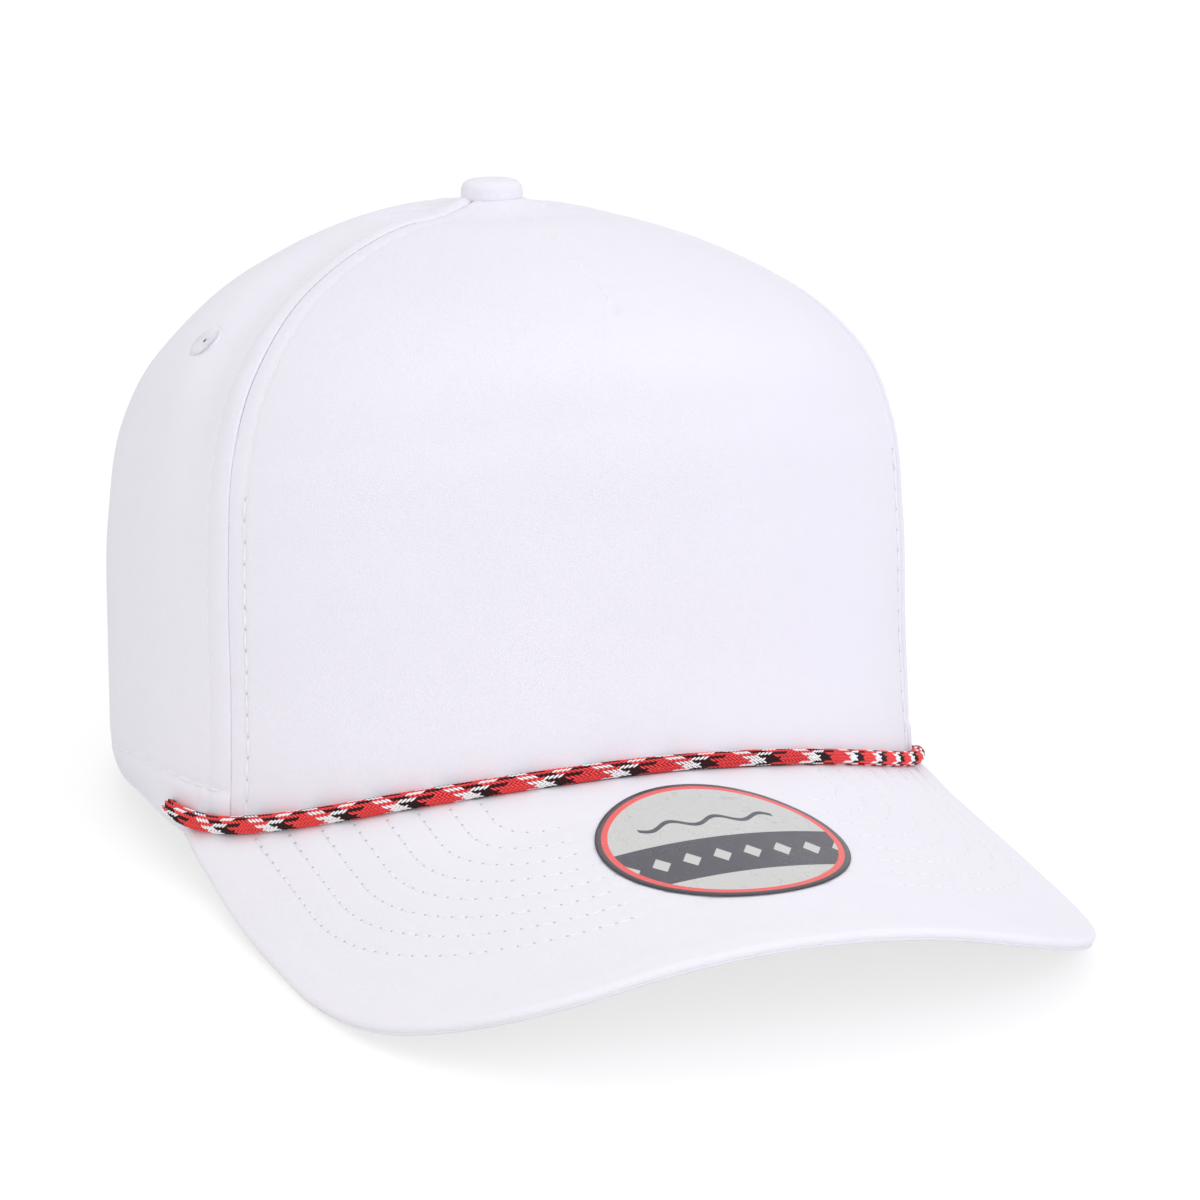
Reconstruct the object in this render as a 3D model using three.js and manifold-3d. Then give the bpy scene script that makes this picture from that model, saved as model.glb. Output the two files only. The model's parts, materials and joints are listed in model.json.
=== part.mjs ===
// A rope cap: a structured, high-crowned five-panel cap with a pre-curved brim, a braided cord laid along
// the joint of crown and brim, and an arched opening at the back that one plain strap closes.
//
// Sizes are in millimetres and +Z is up. The wearer looks along -Y, so the brim reaches forward along -Y, and
// the wearer's left is +X. The cap is the same on both sides of X = 0. It stands as it does on a table, on the
// two front corners of its brim and the back of its rim. The origin lies on the table, under the middle of the
// cap's bounding box.

import * as THREE from 'three';
import { mergeVertices } from 'three/addons/utils/BufferGeometryUtils.js';
import Module from 'manifold-3d';

// Crown, measured from the middle of the head hole with the rim level
const CROWN_HALF_WIDTH = 91;
const CROWN_FRONT_REACH = 83;
const CROWN_BACK_REACH = 92.3;
const CROWN_HEIGHT = 126.5;
const CROWN_TOP_SETBACK = 9.7;
const CROWN_WALL = 1.8;
const SIDE_RIM_HEIGHT = 2.4;
const HEM_BELOW_JOINT = 2;

// Power of the crown's rounded-square plan, where 2 is an ellipse: at the rim, halfway up and at the top
const PLAN_POWER = { rim: 2.045, middle: 2.095, top: 2 };

// Seams, as angles around the crown from the front, at the rim, halfway and at the button
const FRONT_SEAM = { rim: 62, middle: 55, top: 74 };
const BACK_SEAM = { rim: 121, middle: 122, top: 127 };

// Brim, measured flat before it is bent over a round form
const BRIM_HALF_WIDTH = 92.6;
const BRIM_LENGTH = 79;
const BRIM_CORNER_RADIUS = 57.5;
const BRIM_FRONT_RADIUS = 400;
const BRIM_BEND_RADIUS = 150;
const BRIM_TILT = 10.4;
const BRIM_ROOT_HEIGHT = 15.8;
const BRIM_THICKNESS = 2.6;
const BRIM_END_ANGLE = 71;

// Angles over which the rim leaves the brim and settles to its height at the sides
const RIM_SETTLE = { start: 60, span: 28 };

// Cord along the joint
const ROPE_DIAMETER = 5;
const ROPE_END_ANGLE = 74;

// Top button
const BUTTON_RADIUS = 7.2;
const BUTTON_HEIGHT = 3.8;
const BUTTON_FLAT_RADIUS = 4;
const BUTTON_STUD_RADIUS = 3;
const BUTTON_STUD_LENGTH = 4;

// Sewn eyelets
const EYELET_RADIUS = 5;
const EYELET_HOLE_RADIUS = 1.4;
const EYELET_PROUD = 0.6;
const EYELET_UP = 0.71;
const EYELET_SIDE_ANGLE = 85;
const EYELET_BACK_ANGLE = 151;

// Inner band
const BAND_HEIGHT = 30;
const BAND_THICKNESS = 1.2;
const BAND_ABOVE_RIM = 1.5;
const BAND_END_ANGLE = 138;

// Back opening and the strap across it
const OPENING_HALF_WIDTH = 42;
const OPENING_HEIGHT = 50;
const STRAP_HEIGHT = 18;
const STRAP_THICKNESS = 1.4;
const STRAP_ABOVE_RIM = 1;
const STRAP_LAP = 12;

// Round sticker on the brim
const STICKER_RADIUS = 25.5;
const STICKER_THICKNESS = 0.4;
const STICKER_FROM_JOINT = 34.8;

// Room left between pieces that are sewn or laid together, and between the panels and what lines them
const CLEARANCE = 0.3;
const LINING_CLEARANCE = 0.6;

// Sections of the crown, from the rim up to the button. `up` is the share of the way up a panel. The reach
// columns are shares of the crown's reach to that side, and the height columns are shares of the height
// between the rim and the top.
const CROWN_SECTIONS = [
  { up: 0.00, frontReach: 1.000, frontHeight: 0.000, sideReach: 1.000, sideHeight: 0.000, backReach: 1.000, backHeight: 0.000 },
  { up: 0.20, frontReach: 0.926, frontHeight: 0.225, sideReach: 0.996, sideHeight: 0.226, backReach: 1.006, backHeight: 0.187 },
  { up: 0.40, frontReach: 0.908, frontHeight: 0.454, sideReach: 0.986, sideHeight: 0.455, backReach: 0.974, backHeight: 0.378 },
  { up: 0.55, frontReach: 0.912, frontHeight: 0.648, sideReach: 0.946, sideHeight: 0.632, backReach: 0.888, backHeight: 0.529 },
  { up: 0.68, frontReach: 0.867, frontHeight: 0.804, sideReach: 0.842, sideHeight: 0.764, backReach: 0.751, backHeight: 0.668 },
  { up: 0.80, frontReach: 0.650, frontHeight: 0.905, sideReach: 0.630, sideHeight: 0.886, backReach: 0.571, backHeight: 0.868 },
  { up: 0.90, frontReach: 0.360, frontHeight: 0.969, sideReach: 0.352, sideHeight: 0.963, backReach: 0.317, backHeight: 0.981 },
  { up: 1.00, frontReach: 0.000, frontHeight: 1.000, sideReach: 0.000, sideHeight: 1.000, backReach: 0.000, backHeight: 1.000 },
];

// Facets
const PANEL_ROWS = 16;
const FRONT_PANEL_COLUMNS = 28;
const SMALL_PANEL_COLUMNS = 12;
const BRIM_COLUMNS = 36;
const BRIM_ROWS = 8;
const ROPE_STEPS = 54;
const ROPE_SIDES = 10;
const BAND_COLUMNS = 44;
const BAND_ROWS = 3;
const STRAP_COLUMNS = 12;
const STICKER_COLUMNS = 14;
const ROUND_SIDES = 24;
const EYELET_SIDES = 16;
const ARCH_SEGMENTS = 24;

const wasm = await Module();
wasm.setup();

const { degToRad, radToDeg, lerp, clamp } = THREE.MathUtils;

// Small helpers
function smooth(share) {
  const kept = clamp(share, 0, 1);
  return kept * kept * (3 - 2 * kept);
}

function bisect(low, high, isPast) {
  let near = low;
  let far = high;
  for (let step = 0; step < 40; step += 1) {
    const middle = (near + far) / 2;
    if (isPast(middle)) far = middle;
    else near = middle;
  }
  return (near + far) / 2;
}

function signedPower(value, power) {
  return Math.sign(value) * Math.abs(value) ** power;
}

// The value of one column of the section table at any height, through the rows on a smooth curve
function sectionShare(column, up) {
  const rows = CROWN_SECTIONS;
  const last = rows.length - 2;
  const found = rows.findIndex((row, index) => index > 0 && up < row.up) - 1;
  const index = found < 0 ? last : found;
  const span = (at) => rows[at + 1].up - rows[at].up;
  const slope = (at) => (rows[at + 1][column] - rows[at][column]) / span(at);
  const tangent = (at) => {
    if (at === 0) return slope(0);
    if (at > last) return slope(last);
    return (span(at) * slope(at - 1) + span(at - 1) * slope(at)) / (span(at) + span(at - 1));
  };
  const width = span(index);
  const s = (up - rows[index].up) / width;
  const start = (2 * s ** 3 - 3 * s ** 2 + 1) * rows[index][column] + (s ** 3 - 2 * s ** 2 + s) * width * tangent(index);
  const end = (3 * s ** 2 - 2 * s ** 3) * rows[index + 1][column] + (s ** 3 - s ** 2) * width * tangent(index + 1);
  return start + end;
}

// Brim surface: a flat sheet bent over a round form whose axis tilts down towards the front
const tilt = degToRad(BRIM_TILT);
const brimForward = new THREE.Vector3(0, -Math.cos(tilt), -Math.sin(tilt));
const brimUp = new THREE.Vector3(0, -Math.sin(tilt), Math.cos(tilt));
const brimRoot = new THREE.Vector3(0, -CROWN_FRONT_REACH, BRIM_ROOT_HEIGHT);

function brimNormal(across) {
  const turn = across / BRIM_BEND_RADIUS;
  return new THREE.Vector3(Math.sin(turn), 0, 0).addScaledVector(brimUp, Math.cos(turn));
}

function brimPoint(across, forward) {
  const turn = across / BRIM_BEND_RADIUS;
  const sag = BRIM_BEND_RADIUS * (1 - Math.cos(turn));
  return brimRoot.clone()
    .add(new THREE.Vector3(BRIM_BEND_RADIUS * Math.sin(turn), 0, 0))
    .addScaledVector(brimForward, forward)
    .addScaledVector(brimUp, -sag);
}

// The flat place on the brim's sheet above a point given in plan
function brimPlace(x, y) {
  const across = BRIM_BEND_RADIUS * Math.asin(clamp(x / BRIM_BEND_RADIUS, -1, 1));
  const sag = BRIM_BEND_RADIUS * (1 - Math.cos(across / BRIM_BEND_RADIUS));
  const forward = (brimRoot.y - y + sag * Math.sin(tilt)) / Math.cos(tilt);
  return { across, forward };
}

function brimHeightAt(x, y) {
  const { across, forward } = brimPlace(x, y);
  return brimPoint(across, forward).z;
}

// Plan outline of the rim
function rimPlan(angle, frontReach, sideReach, backReach, power) {
  const turn = degToRad(angle);
  const out = signedPower(Math.sin(turn), 2 / power);
  const ahead = signedPower(Math.cos(turn), 2 / power);
  const reach = ahead > 0 ? frontReach : backReach;
  return { x: sideReach * out, y: -reach * ahead };
}

// The rim leaves the brim near its side corners and settles to one height round the sides and back
function rimSettled(angle) {
  return smooth((Math.abs(angle) - RIM_SETTLE.start) / RIM_SETTLE.span);
}

function brimHeightAtRim(angle) {
  const held = Math.min(Math.abs(angle), BRIM_END_ANGLE);
  const plan = rimPlan(held, CROWN_FRONT_REACH, CROWN_HALF_WIDTH, CROWN_BACK_REACH, PLAN_POWER.rim);
  return brimHeightAt(plan.x, plan.y);
}

// Height of the line where the crown meets the brim's top, and the hem that reaches a little below it
function jointHeight(angle) {
  return lerp(brimHeightAtRim(angle), SIDE_RIM_HEIGHT, rimSettled(angle));
}

function rimHeight(angle) {
  return jointHeight(angle) - HEM_BELOW_JOINT * (1 - rimSettled(angle));
}

// Outside of the crown. `angle` runs around from the front, positive to the wearer's left.
function crownPoint(angle, up) {
  const frontShare = sectionShare('frontReach', up);
  const backShare = sectionShare('backReach', up);
  const belly = lerp(PLAN_POWER.rim, PLAN_POWER.middle, Math.sin(Math.PI * clamp(up, 0, 1)));
  const plan = rimPlan(
    angle,
    CROWN_FRONT_REACH * frontShare,
    CROWN_HALF_WIDTH * sectionShare('sideReach', up),
    CROWN_BACK_REACH * backShare,
    lerp(belly, PLAN_POWER.top, up ** 3),
  );
  const ahead = Math.cos(degToRad(angle));
  const reachShare = ahead > 0 ? frontShare : backShare;
  const endHeight = sectionShare(ahead > 0 ? 'frontHeight' : 'backHeight', up);
  const heightShare = lerp(sectionShare('sideHeight', up), endHeight, ahead * ahead);
  const rim = rimHeight(angle);
  return new THREE.Vector3(
    plan.x,
    plan.y + CROWN_TOP_SETBACK * (1 - reachShare),
    rim + (CROWN_HEIGHT - rim) * heightShare,
  );
}

function crownNormal(angle, up) {
  const angleStep = 0.2;
  const upStep = 0.002;
  const low = Math.max(up - upStep, 0);
  const high = Math.min(up + upStep, 1 - upStep);
  const alongRim = crownPoint(angle + angleStep, up).sub(crownPoint(angle - angleStep, up));
  const alongPanel = crownPoint(angle, high).sub(crownPoint(angle, low));
  return alongRim.cross(alongPanel).normalize();
}

// A point under the crown's outside, `depth` into the cloth
function crownSkin(angle, up, depth) {
  return crownPoint(angle, up).addScaledVector(crownNormal(angle, up), -depth);
}

function reachFromTop(angle, up) {
  const point = crownPoint(angle, up);
  return Math.hypot(point.x, point.y - CROWN_TOP_SETBACK);
}

function upAtHeight(angle, height) {
  return bisect(0, 0.9, (up) => crownPoint(angle, up).z > height);
}

function upAtReach(angle, radius) {
  return bisect(0.6, 1, (up) => reachFromTop(angle, up) < radius);
}

function seamAngle(seam, up) {
  const below = 1 - up;
  return seam.rim * below * below + 2 * seam.middle * below * up + seam.top * up * up;
}

// Closed bodies
function signedVolume(positions, triangles) {
  const corner = (index) => new THREE.Vector3().fromArray(positions, 3 * index);
  let total = 0;
  for (let at = 0; at < triangles.length; at += 3) {
    const [a, b, c] = [0, 1, 2].map((offset) => corner(triangles[at + offset]));
    total += a.dot(b.cross(c)) / 6;
  }
  return total;
}

function closedGeometry(positions, triangles) {
  const ordered = [...triangles];
  if (signedVolume(positions, ordered) < 0) ordered.reverse();
  const geometry = new THREE.BufferGeometry();
  geometry.setAttribute('position', new THREE.Float32BufferAttribute(positions, 3));
  geometry.setIndex(ordered);
  return geometry;
}

// A sheet with thickness: `place(across, along, depth)` takes three shares from 0 to 1. The facets of the
// second half of the columns lean the other way, so that a sheet that is centred on X = 0 is the same on both sides.
function slab(columns, rows, place) {
  const positions = [];
  const triangles = [];
  for (const depth of [0, 1]) {
    for (let row = 0; row <= rows; row += 1) {
      for (let column = 0; column <= columns; column += 1) {
        positions.push(...place(column / columns, row / rows, depth).toArray());
      }
    }
  }
  const index = (column, row, depth) => (depth * (rows + 1) + row) * (columns + 1) + column;
  const quad = (a, b, c, d) => triangles.push(a, b, c, a, c, d);
  const mirroredQuad = (a, b, c, d) => triangles.push(a, b, d, b, c, d);
  for (let row = 0; row < rows; row += 1) {
    for (let column = 0; column < columns; column += 1) {
      const corners = (depth) => [
        index(column, row, depth),
        index(column + 1, row, depth),
        index(column + 1, row + 1, depth),
        index(column, row + 1, depth),
      ];
      const [near, right, far, left] = corners(1);
      const isSecondHalf = column >= columns / 2;
      if (isSecondHalf) mirroredQuad(...corners(0));
      else quad(...corners(0));
      if (isSecondHalf) mirroredQuad(left, far, right, near);
      else quad(near, left, far, right);
    }
  }
  for (let column = 0; column < columns; column += 1) {
    quad(index(column, 0, 1), index(column + 1, 0, 1), index(column + 1, 0, 0), index(column, 0, 0));
    quad(index(column, rows, 0), index(column + 1, rows, 0), index(column + 1, rows, 1), index(column, rows, 1));
  }
  for (let row = 0; row < rows; row += 1) {
    quad(index(0, row, 0), index(0, row + 1, 0), index(0, row + 1, 1), index(0, row, 1));
    quad(index(columns, row, 1), index(columns, row + 1, 1), index(columns, row + 1, 0), index(columns, row, 0));
  }
  return closedGeometry(positions, triangles);
}

function toSolid(geometry) {
  const bare = geometry.clone();
  bare.deleteAttribute('normal');
  bare.deleteAttribute('uv');
  const merged = mergeVertices(bare, 1e-4);
  return new wasm.Manifold(new wasm.Mesh({
    numProp: 3,
    vertProperties: new Float32Array(merged.attributes.position.array),
    triVerts: new Uint32Array(merged.index.array),
  }));
}

function toGeometry(solid) {
  const mesh = solid.getMesh();
  const geometry = new THREE.BufferGeometry();
  geometry.setAttribute('position', new THREE.BufferAttribute(new Float32Array(mesh.vertProperties), 3));
  geometry.setIndex(new THREE.BufferAttribute(new Uint32Array(mesh.triVerts), 1));
  return geometry;
}

function cutAway(geometry, cutters) {
  const left = cutters.reduce((solid, cutter) => solid.subtract(toSolid(cutter)), toSolid(geometry));
  return toGeometry(left);
}

// Crown panels, from one seam round to the next. A right-hand panel is its left-hand twin, mirrored.
function panelGeometry(columns, startSeam, endSeam, mirror = 1) {
  const edge = (seam, up, side) => {
    const angle = seam(up);
    const room = radToDeg(CLEARANCE / 2 / reachFromTop(angle, up));
    return angle + side * room;
  };
  const top = (angle) => upAtReach(angle, BUTTON_STUD_RADIUS + CLEARANCE);
  return slab(columns, PANEL_ROWS, (across, along, depth) => {
    const middle = lerp(startSeam(1), endSeam(1), across);
    const up = along * top(middle);
    const angle = lerp(edge(startSeam, up, 1), edge(endSeam, up, -1), across);
    const point = crownSkin(angle, up, depth * CROWN_WALL);
    return point.setX(mirror * point.x);
  });
}

const frontSeam = (up) => seamAngle(FRONT_SEAM, up);
const frontSeamRight = (up) => -frontSeam(up);
const backSeam = (up) => seamAngle(BACK_SEAM, up);
const backCentre = () => 180;

// Sewn eyelets: a short ring that stands a little proud of the cloth on both faces
function ontoCrown(geometry, angle, up) {
  const normal = crownNormal(angle, up);
  const turn = new THREE.Quaternion().setFromUnitVectors(new THREE.Vector3(0, 1, 0), normal);
  const middle = crownSkin(angle, up, CROWN_WALL / 2);
  return geometry.applyMatrix4(new THREE.Matrix4().compose(middle, turn, new THREE.Vector3(1, 1, 1)));
}

function eyeletGeometry(angle) {
  const half = CROWN_WALL / 2 + EYELET_PROUD;
  const crest = (EYELET_RADIUS + EYELET_HOLE_RADIUS) / 2;
  const profile = [
    new THREE.Vector2(EYELET_HOLE_RADIUS, -half / 2),
    new THREE.Vector2(crest, -half),
    new THREE.Vector2(EYELET_RADIUS, -half / 2),
    new THREE.Vector2(EYELET_RADIUS, half / 2),
    new THREE.Vector2(crest, half),
    new THREE.Vector2(EYELET_HOLE_RADIUS, half / 2),
  ];
  profile.push(profile[0].clone());
  return ontoCrown(new THREE.LatheGeometry(profile, EYELET_SIDES), angle, EYELET_UP);
}

function eyeletCutter(angle) {
  const radius = EYELET_RADIUS + CLEARANCE;
  return ontoCrown(new THREE.CylinderGeometry(radius, radius, 6 * CROWN_WALL, EYELET_SIDES), angle, EYELET_UP);
}

// Back opening: an arch seen from behind, cut through the back of the crown
function openingCutter() {
  const rim = rimHeight(180);
  const shape = new THREE.Shape();
  shape.moveTo(-OPENING_HALF_WIDTH, rim - CROWN_HEIGHT / 4);
  shape.lineTo(OPENING_HALF_WIDTH, rim - CROWN_HEIGHT / 4);
  shape.lineTo(OPENING_HALF_WIDTH, rim);
  shape.absellipse(0, rim, OPENING_HALF_WIDTH, OPENING_HEIGHT, 0, Math.PI, false, 0);
  const geometry = new THREE.ExtrudeGeometry(shape, {
    depth: CROWN_BACK_REACH,
    bevelEnabled: false,
    curveSegments: ARCH_SEGMENTS,
  });
  geometry.rotateX(Math.PI / 2);
  geometry.translate(0, CROWN_BACK_REACH * 1.4, 0);
  return geometry;
}

// Brim
const cornerCentreAcross = BRIM_HALF_WIDTH - BRIM_CORNER_RADIUS;
const frontCentre = BRIM_LENGTH - BRIM_FRONT_RADIUS;
const cornerReach = BRIM_FRONT_RADIUS - BRIM_CORNER_RADIUS;
const cornerCentreForward = frontCentre + Math.sqrt(cornerReach ** 2 - cornerCentreAcross ** 2);
const frontHalfArc = Math.asin(cornerCentreAcross / cornerReach);
const cornerArc = Math.PI / 2 - frontHalfArc;

// The outer outline of the flat brim: front arc, then corner arc, for shares from -1 to 1
function brimOutline(share) {
  const frontLength = BRIM_FRONT_RADIUS * frontHalfArc;
  const cornerLength = BRIM_CORNER_RADIUS * cornerArc;
  const gone = Math.abs(share) * (frontLength + cornerLength);
  if (gone < frontLength) {
    const turn = gone / BRIM_FRONT_RADIUS;
    return {
      across: Math.sign(share) * BRIM_FRONT_RADIUS * Math.sin(turn),
      forward: frontCentre + BRIM_FRONT_RADIUS * Math.cos(turn),
    };
  }
  const turn = frontHalfArc + (gone - frontLength) / BRIM_CORNER_RADIUS;
  return {
    across: Math.sign(share) * (cornerCentreAcross + BRIM_CORNER_RADIUS * Math.sin(turn)),
    forward: cornerCentreForward + BRIM_CORNER_RADIUS * Math.cos(turn),
  };
}

// The inner edge of the flat brim, which follows the crown just outside the wall
function brimInnerEdge(share) {
  const angle = share * BRIM_END_ANGLE;
  const wall = crownPoint(angle, 0);
  const out = crownNormal(angle, 0).setZ(0).normalize();
  const edge = wall.addScaledVector(out, CLEARANCE);
  return brimPlace(edge.x, edge.y);
}

function brimGeometry() {
  return slab(BRIM_COLUMNS, BRIM_ROWS, (acrossShare, along, depth) => {
    const share = 2 * acrossShare - 1;
    const inner = brimInnerEdge(share);
    const outer = brimOutline(share);
    const across = lerp(inner.across, outer.across, along);
    const forward = lerp(inner.forward, outer.forward, along);
    const straightDown = new THREE.Vector3(0, 0, 1);
    const down = straightDown.lerp(brimNormal(across), smooth(4 * along)).normalize();
    return brimPoint(across, forward).addScaledVector(down, -depth * BRIM_THICKNESS);
  });
}

// Cord: it lies in the corner between crown and brim
function ropeCentre(angle) {
  const room = ROPE_DIAMETER / 2 + CLEARANCE;
  const up = upAtHeight(angle, jointHeight(angle) + room);
  const out = crownNormal(angle, up).setZ(0).normalize();
  const centre = crownPoint(angle, up).addScaledVector(out, room);
  const across = brimPlace(centre.x, centre.y).across;
  const lift = jointHeight(angle) - brimHeightAtRim(angle);
  centre.z = brimHeightAt(centre.x, centre.y) + room / brimNormal(across).z + lift;
  return centre;
}

function ropeGeometry() {
  const angles = Array.from({ length: ROPE_STEPS + 1 }, (_, step) => lerp(-1, 1, step / ROPE_STEPS) * ROPE_END_ANGLE);
  const path = new THREE.CatmullRomCurve3(angles.map(ropeCentre));
  const section = new THREE.Shape();
  for (let side = 0; side < ROPE_SIDES; side += 1) {
    const turn = (2 * Math.PI * side) / ROPE_SIDES;
    const x = (ROPE_DIAMETER / 2) * Math.cos(turn);
    const y = (ROPE_DIAMETER / 2) * Math.sin(turn);
    if (side === 0) section.moveTo(x, y);
    else section.lineTo(x, y);
  }
  section.closePath();
  return new THREE.ExtrudeGeometry(section, { steps: ROPE_STEPS, extrudePath: path });
}

// Button: a low round cap with a small true flat on top and a stud through the crown
function buttonGeometry() {
  const base = CLEARANCE;
  const shoulder = BUTTON_HEIGHT / 2;
  const roundOff = BUTTON_RADIUS - BUTTON_FLAT_RADIUS;
  const profile = [new THREE.Vector2(0, -BUTTON_STUD_LENGTH)];
  profile.push(new THREE.Vector2(BUTTON_STUD_RADIUS, -BUTTON_STUD_LENGTH));
  profile.push(new THREE.Vector2(BUTTON_STUD_RADIUS, base));
  profile.push(new THREE.Vector2(BUTTON_RADIUS - base, base));
  profile.push(new THREE.Vector2(BUTTON_RADIUS, base + shoulder / 2));
  for (let step = 0; step <= 4; step += 1) {
    const turn = (Math.PI / 2) * (step / 4);
    const radius = BUTTON_FLAT_RADIUS + roundOff * Math.cos(turn);
    profile.push(new THREE.Vector2(radius, shoulder + (BUTTON_HEIGHT - shoulder) * Math.sin(turn)));
  }
  profile.push(new THREE.Vector2(0, BUTTON_HEIGHT));
  const geometry = new THREE.LatheGeometry(profile, ROUND_SIDES);
  geometry.rotateX(Math.PI / 2);
  geometry.translate(0, CROWN_TOP_SETBACK, CROWN_HEIGHT);
  return geometry;
}

// Inner band and back strap lie just inside the panels
function bandGeometry(columns, startAngle, endAngle, aboveRim, height, thickness) {
  const face = CROWN_WALL + LINING_CLEARANCE;
  return slab(columns, BAND_ROWS, (across, along, depth) => {
    const angle = lerp(startAngle, endAngle, across);
    const up = upAtHeight(angle, rimHeight(angle) + aboveRim + along * height);
    return crownSkin(angle, up, face + depth * thickness);
  });
}

function strapGeometry() {
  const openingAngle = radToDeg(Math.asin(OPENING_HALF_WIDTH / CROWN_HALF_WIDTH));
  const lapAngle = radToDeg(STRAP_LAP / CROWN_BACK_REACH);
  const reach = openingAngle + lapAngle;
  return bandGeometry(STRAP_COLUMNS, 180 - reach, 180 + reach, STRAP_ABOVE_RIM, STRAP_HEIGHT, STRAP_THICKNESS);
}

// Sticker: a thin disc that follows the brim's bend
function stickerGeometry() {
  const widest = degToRad(86);
  return slab(STICKER_COLUMNS, 2, (acrossShare, along, depth) => {
    const turn = lerp(-widest, widest, acrossShare);
    const across = STICKER_RADIUS * Math.sin(turn);
    const forward = STICKER_FROM_JOINT + STICKER_RADIUS * Math.cos(turn) * lerp(-1, 1, along);
    const lift = CLEARANCE + (1 - depth) * STICKER_THICKNESS;
    return brimPoint(across, forward).addScaledVector(brimNormal(across), lift);
  });
}

// Finishes
const finish = (color, roughness) => new THREE.MeshStandardMaterial({ color, roughness, metalness: 0 });
const panelCloth = () => finish(0xf0eff6, 0.85);
const brimCloth = () => finish(0xf0eef3, 0.8);
const threadWhite = () => finish(0xf4f3f7, 0.6);
const cordRed = () => finish(0xc8322f, 0.7);
const bandCloth = () => finish(0xe9e8ee, 0.9);
const strapPlastic = () => finish(0xf2f1f4, 0.4);
const stickerFoil = () => finish(0xd2d0cd, 0.35);

function namedMesh(name, geometry, material) {
  const mesh = new THREE.Mesh(geometry, material);
  mesh.name = name;
  return mesh;
}

// The cap with its rim level
const level = new THREE.Group();

level.add(namedMesh('front_panel', panelGeometry(FRONT_PANEL_COLUMNS, frontSeamRight, frontSeam), panelCloth()));
for (const [side, mirror] of [['left', 1], ['right', -1]]) {
  const sideAngle = mirror * EYELET_SIDE_ANGLE;
  const backAngle = mirror * EYELET_BACK_ANGLE;
  const sidePanel = panelGeometry(SMALL_PANEL_COLUMNS, frontSeam, backSeam, mirror);
  const backPanel = panelGeometry(SMALL_PANEL_COLUMNS, backSeam, backCentre, mirror);
  const cutSide = cutAway(sidePanel, [eyeletCutter(sideAngle)]);
  const cutBack = cutAway(backPanel, [eyeletCutter(backAngle), openingCutter()]);
  level.add(namedMesh(`side_panel_${side}`, cutSide, panelCloth()));
  level.add(namedMesh(`back_panel_${side}`, cutBack, panelCloth()));
  level.add(namedMesh(`eyelet_side_${side}`, eyeletGeometry(sideAngle), threadWhite()));
  level.add(namedMesh(`eyelet_back_${side}`, eyeletGeometry(backAngle), threadWhite()));
}
level.add(namedMesh('button', buttonGeometry(), panelCloth()));
level.add(namedMesh('brim', brimGeometry(), brimCloth()));
level.add(namedMesh('rope', ropeGeometry(), cordRed()));
level.add(namedMesh(
  'sweatband',
  bandGeometry(BAND_COLUMNS, -BAND_END_ANGLE, BAND_END_ANGLE, BAND_ABOVE_RIM, BAND_HEIGHT, BAND_THICKNESS),
  bandCloth(),
));
level.add(namedMesh('snap_strap', strapGeometry(), strapPlastic()));
level.add(namedMesh('brim_sticker', stickerGeometry(), stickerFoil()));

// How the cap settles on a table: it tips until the brim's corners and the back rim stand equally low
function lowestPoint(meshes, pitch) {
  const turn = new THREE.Matrix4().makeRotationX(pitch);
  const boxes = meshes.map((mesh) => new THREE.Box3().setFromBufferAttribute(
    mesh.geometry.clone().applyMatrix4(turn).attributes.position,
  ));
  return Math.min(...boxes.map((box) => box.min.z));
}

const brimParts = level.children.filter((mesh) => mesh.name === 'brim');
const backParts = level.children.filter((mesh) => mesh.name.startsWith('back_panel'));
const pitch = -bisect(0, degToRad(30), (turn) => lowestPoint(brimParts, -turn) > lowestPoint(backParts, -turn));
level.rotation.x = pitch;

const cap = new THREE.Group();
cap.add(level);
cap.updateMatrixWorld(true);
const bounds = new THREE.Box3().setFromObject(cap, true);
const middle = bounds.getCenter(new THREE.Vector3());
cap.position.set(-middle.x, -middle.y, -bounds.min.z);
cap.updateMatrixWorld(true);

export default cap;
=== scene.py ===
"""A white rope cap with a braided cord along its brim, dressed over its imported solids.

Shapes are worked out in millimetres with the rim of the head hole level: -Y is the front, +X the wearer's
left and +Z up. A finished mesh is then scaled to metres and tipped into the way the cap rests on a table.
"""

import json
import math
import random

import bmesh
import bpy
import numpy as np
from mathutils import Matrix, Vector


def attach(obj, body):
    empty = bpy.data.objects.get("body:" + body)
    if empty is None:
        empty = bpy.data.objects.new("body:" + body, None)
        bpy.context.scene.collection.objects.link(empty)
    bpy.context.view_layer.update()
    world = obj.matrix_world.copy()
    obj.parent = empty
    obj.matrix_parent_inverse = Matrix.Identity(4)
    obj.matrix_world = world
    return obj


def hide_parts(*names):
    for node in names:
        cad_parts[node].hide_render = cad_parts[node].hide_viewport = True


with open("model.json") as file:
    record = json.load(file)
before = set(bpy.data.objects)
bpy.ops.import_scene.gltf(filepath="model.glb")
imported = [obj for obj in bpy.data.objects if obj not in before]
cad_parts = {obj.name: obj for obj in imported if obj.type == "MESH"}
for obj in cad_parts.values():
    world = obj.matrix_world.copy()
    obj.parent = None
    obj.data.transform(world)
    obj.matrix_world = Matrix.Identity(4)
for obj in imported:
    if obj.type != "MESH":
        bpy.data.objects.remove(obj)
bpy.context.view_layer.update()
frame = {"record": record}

MM = 0.001

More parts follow.
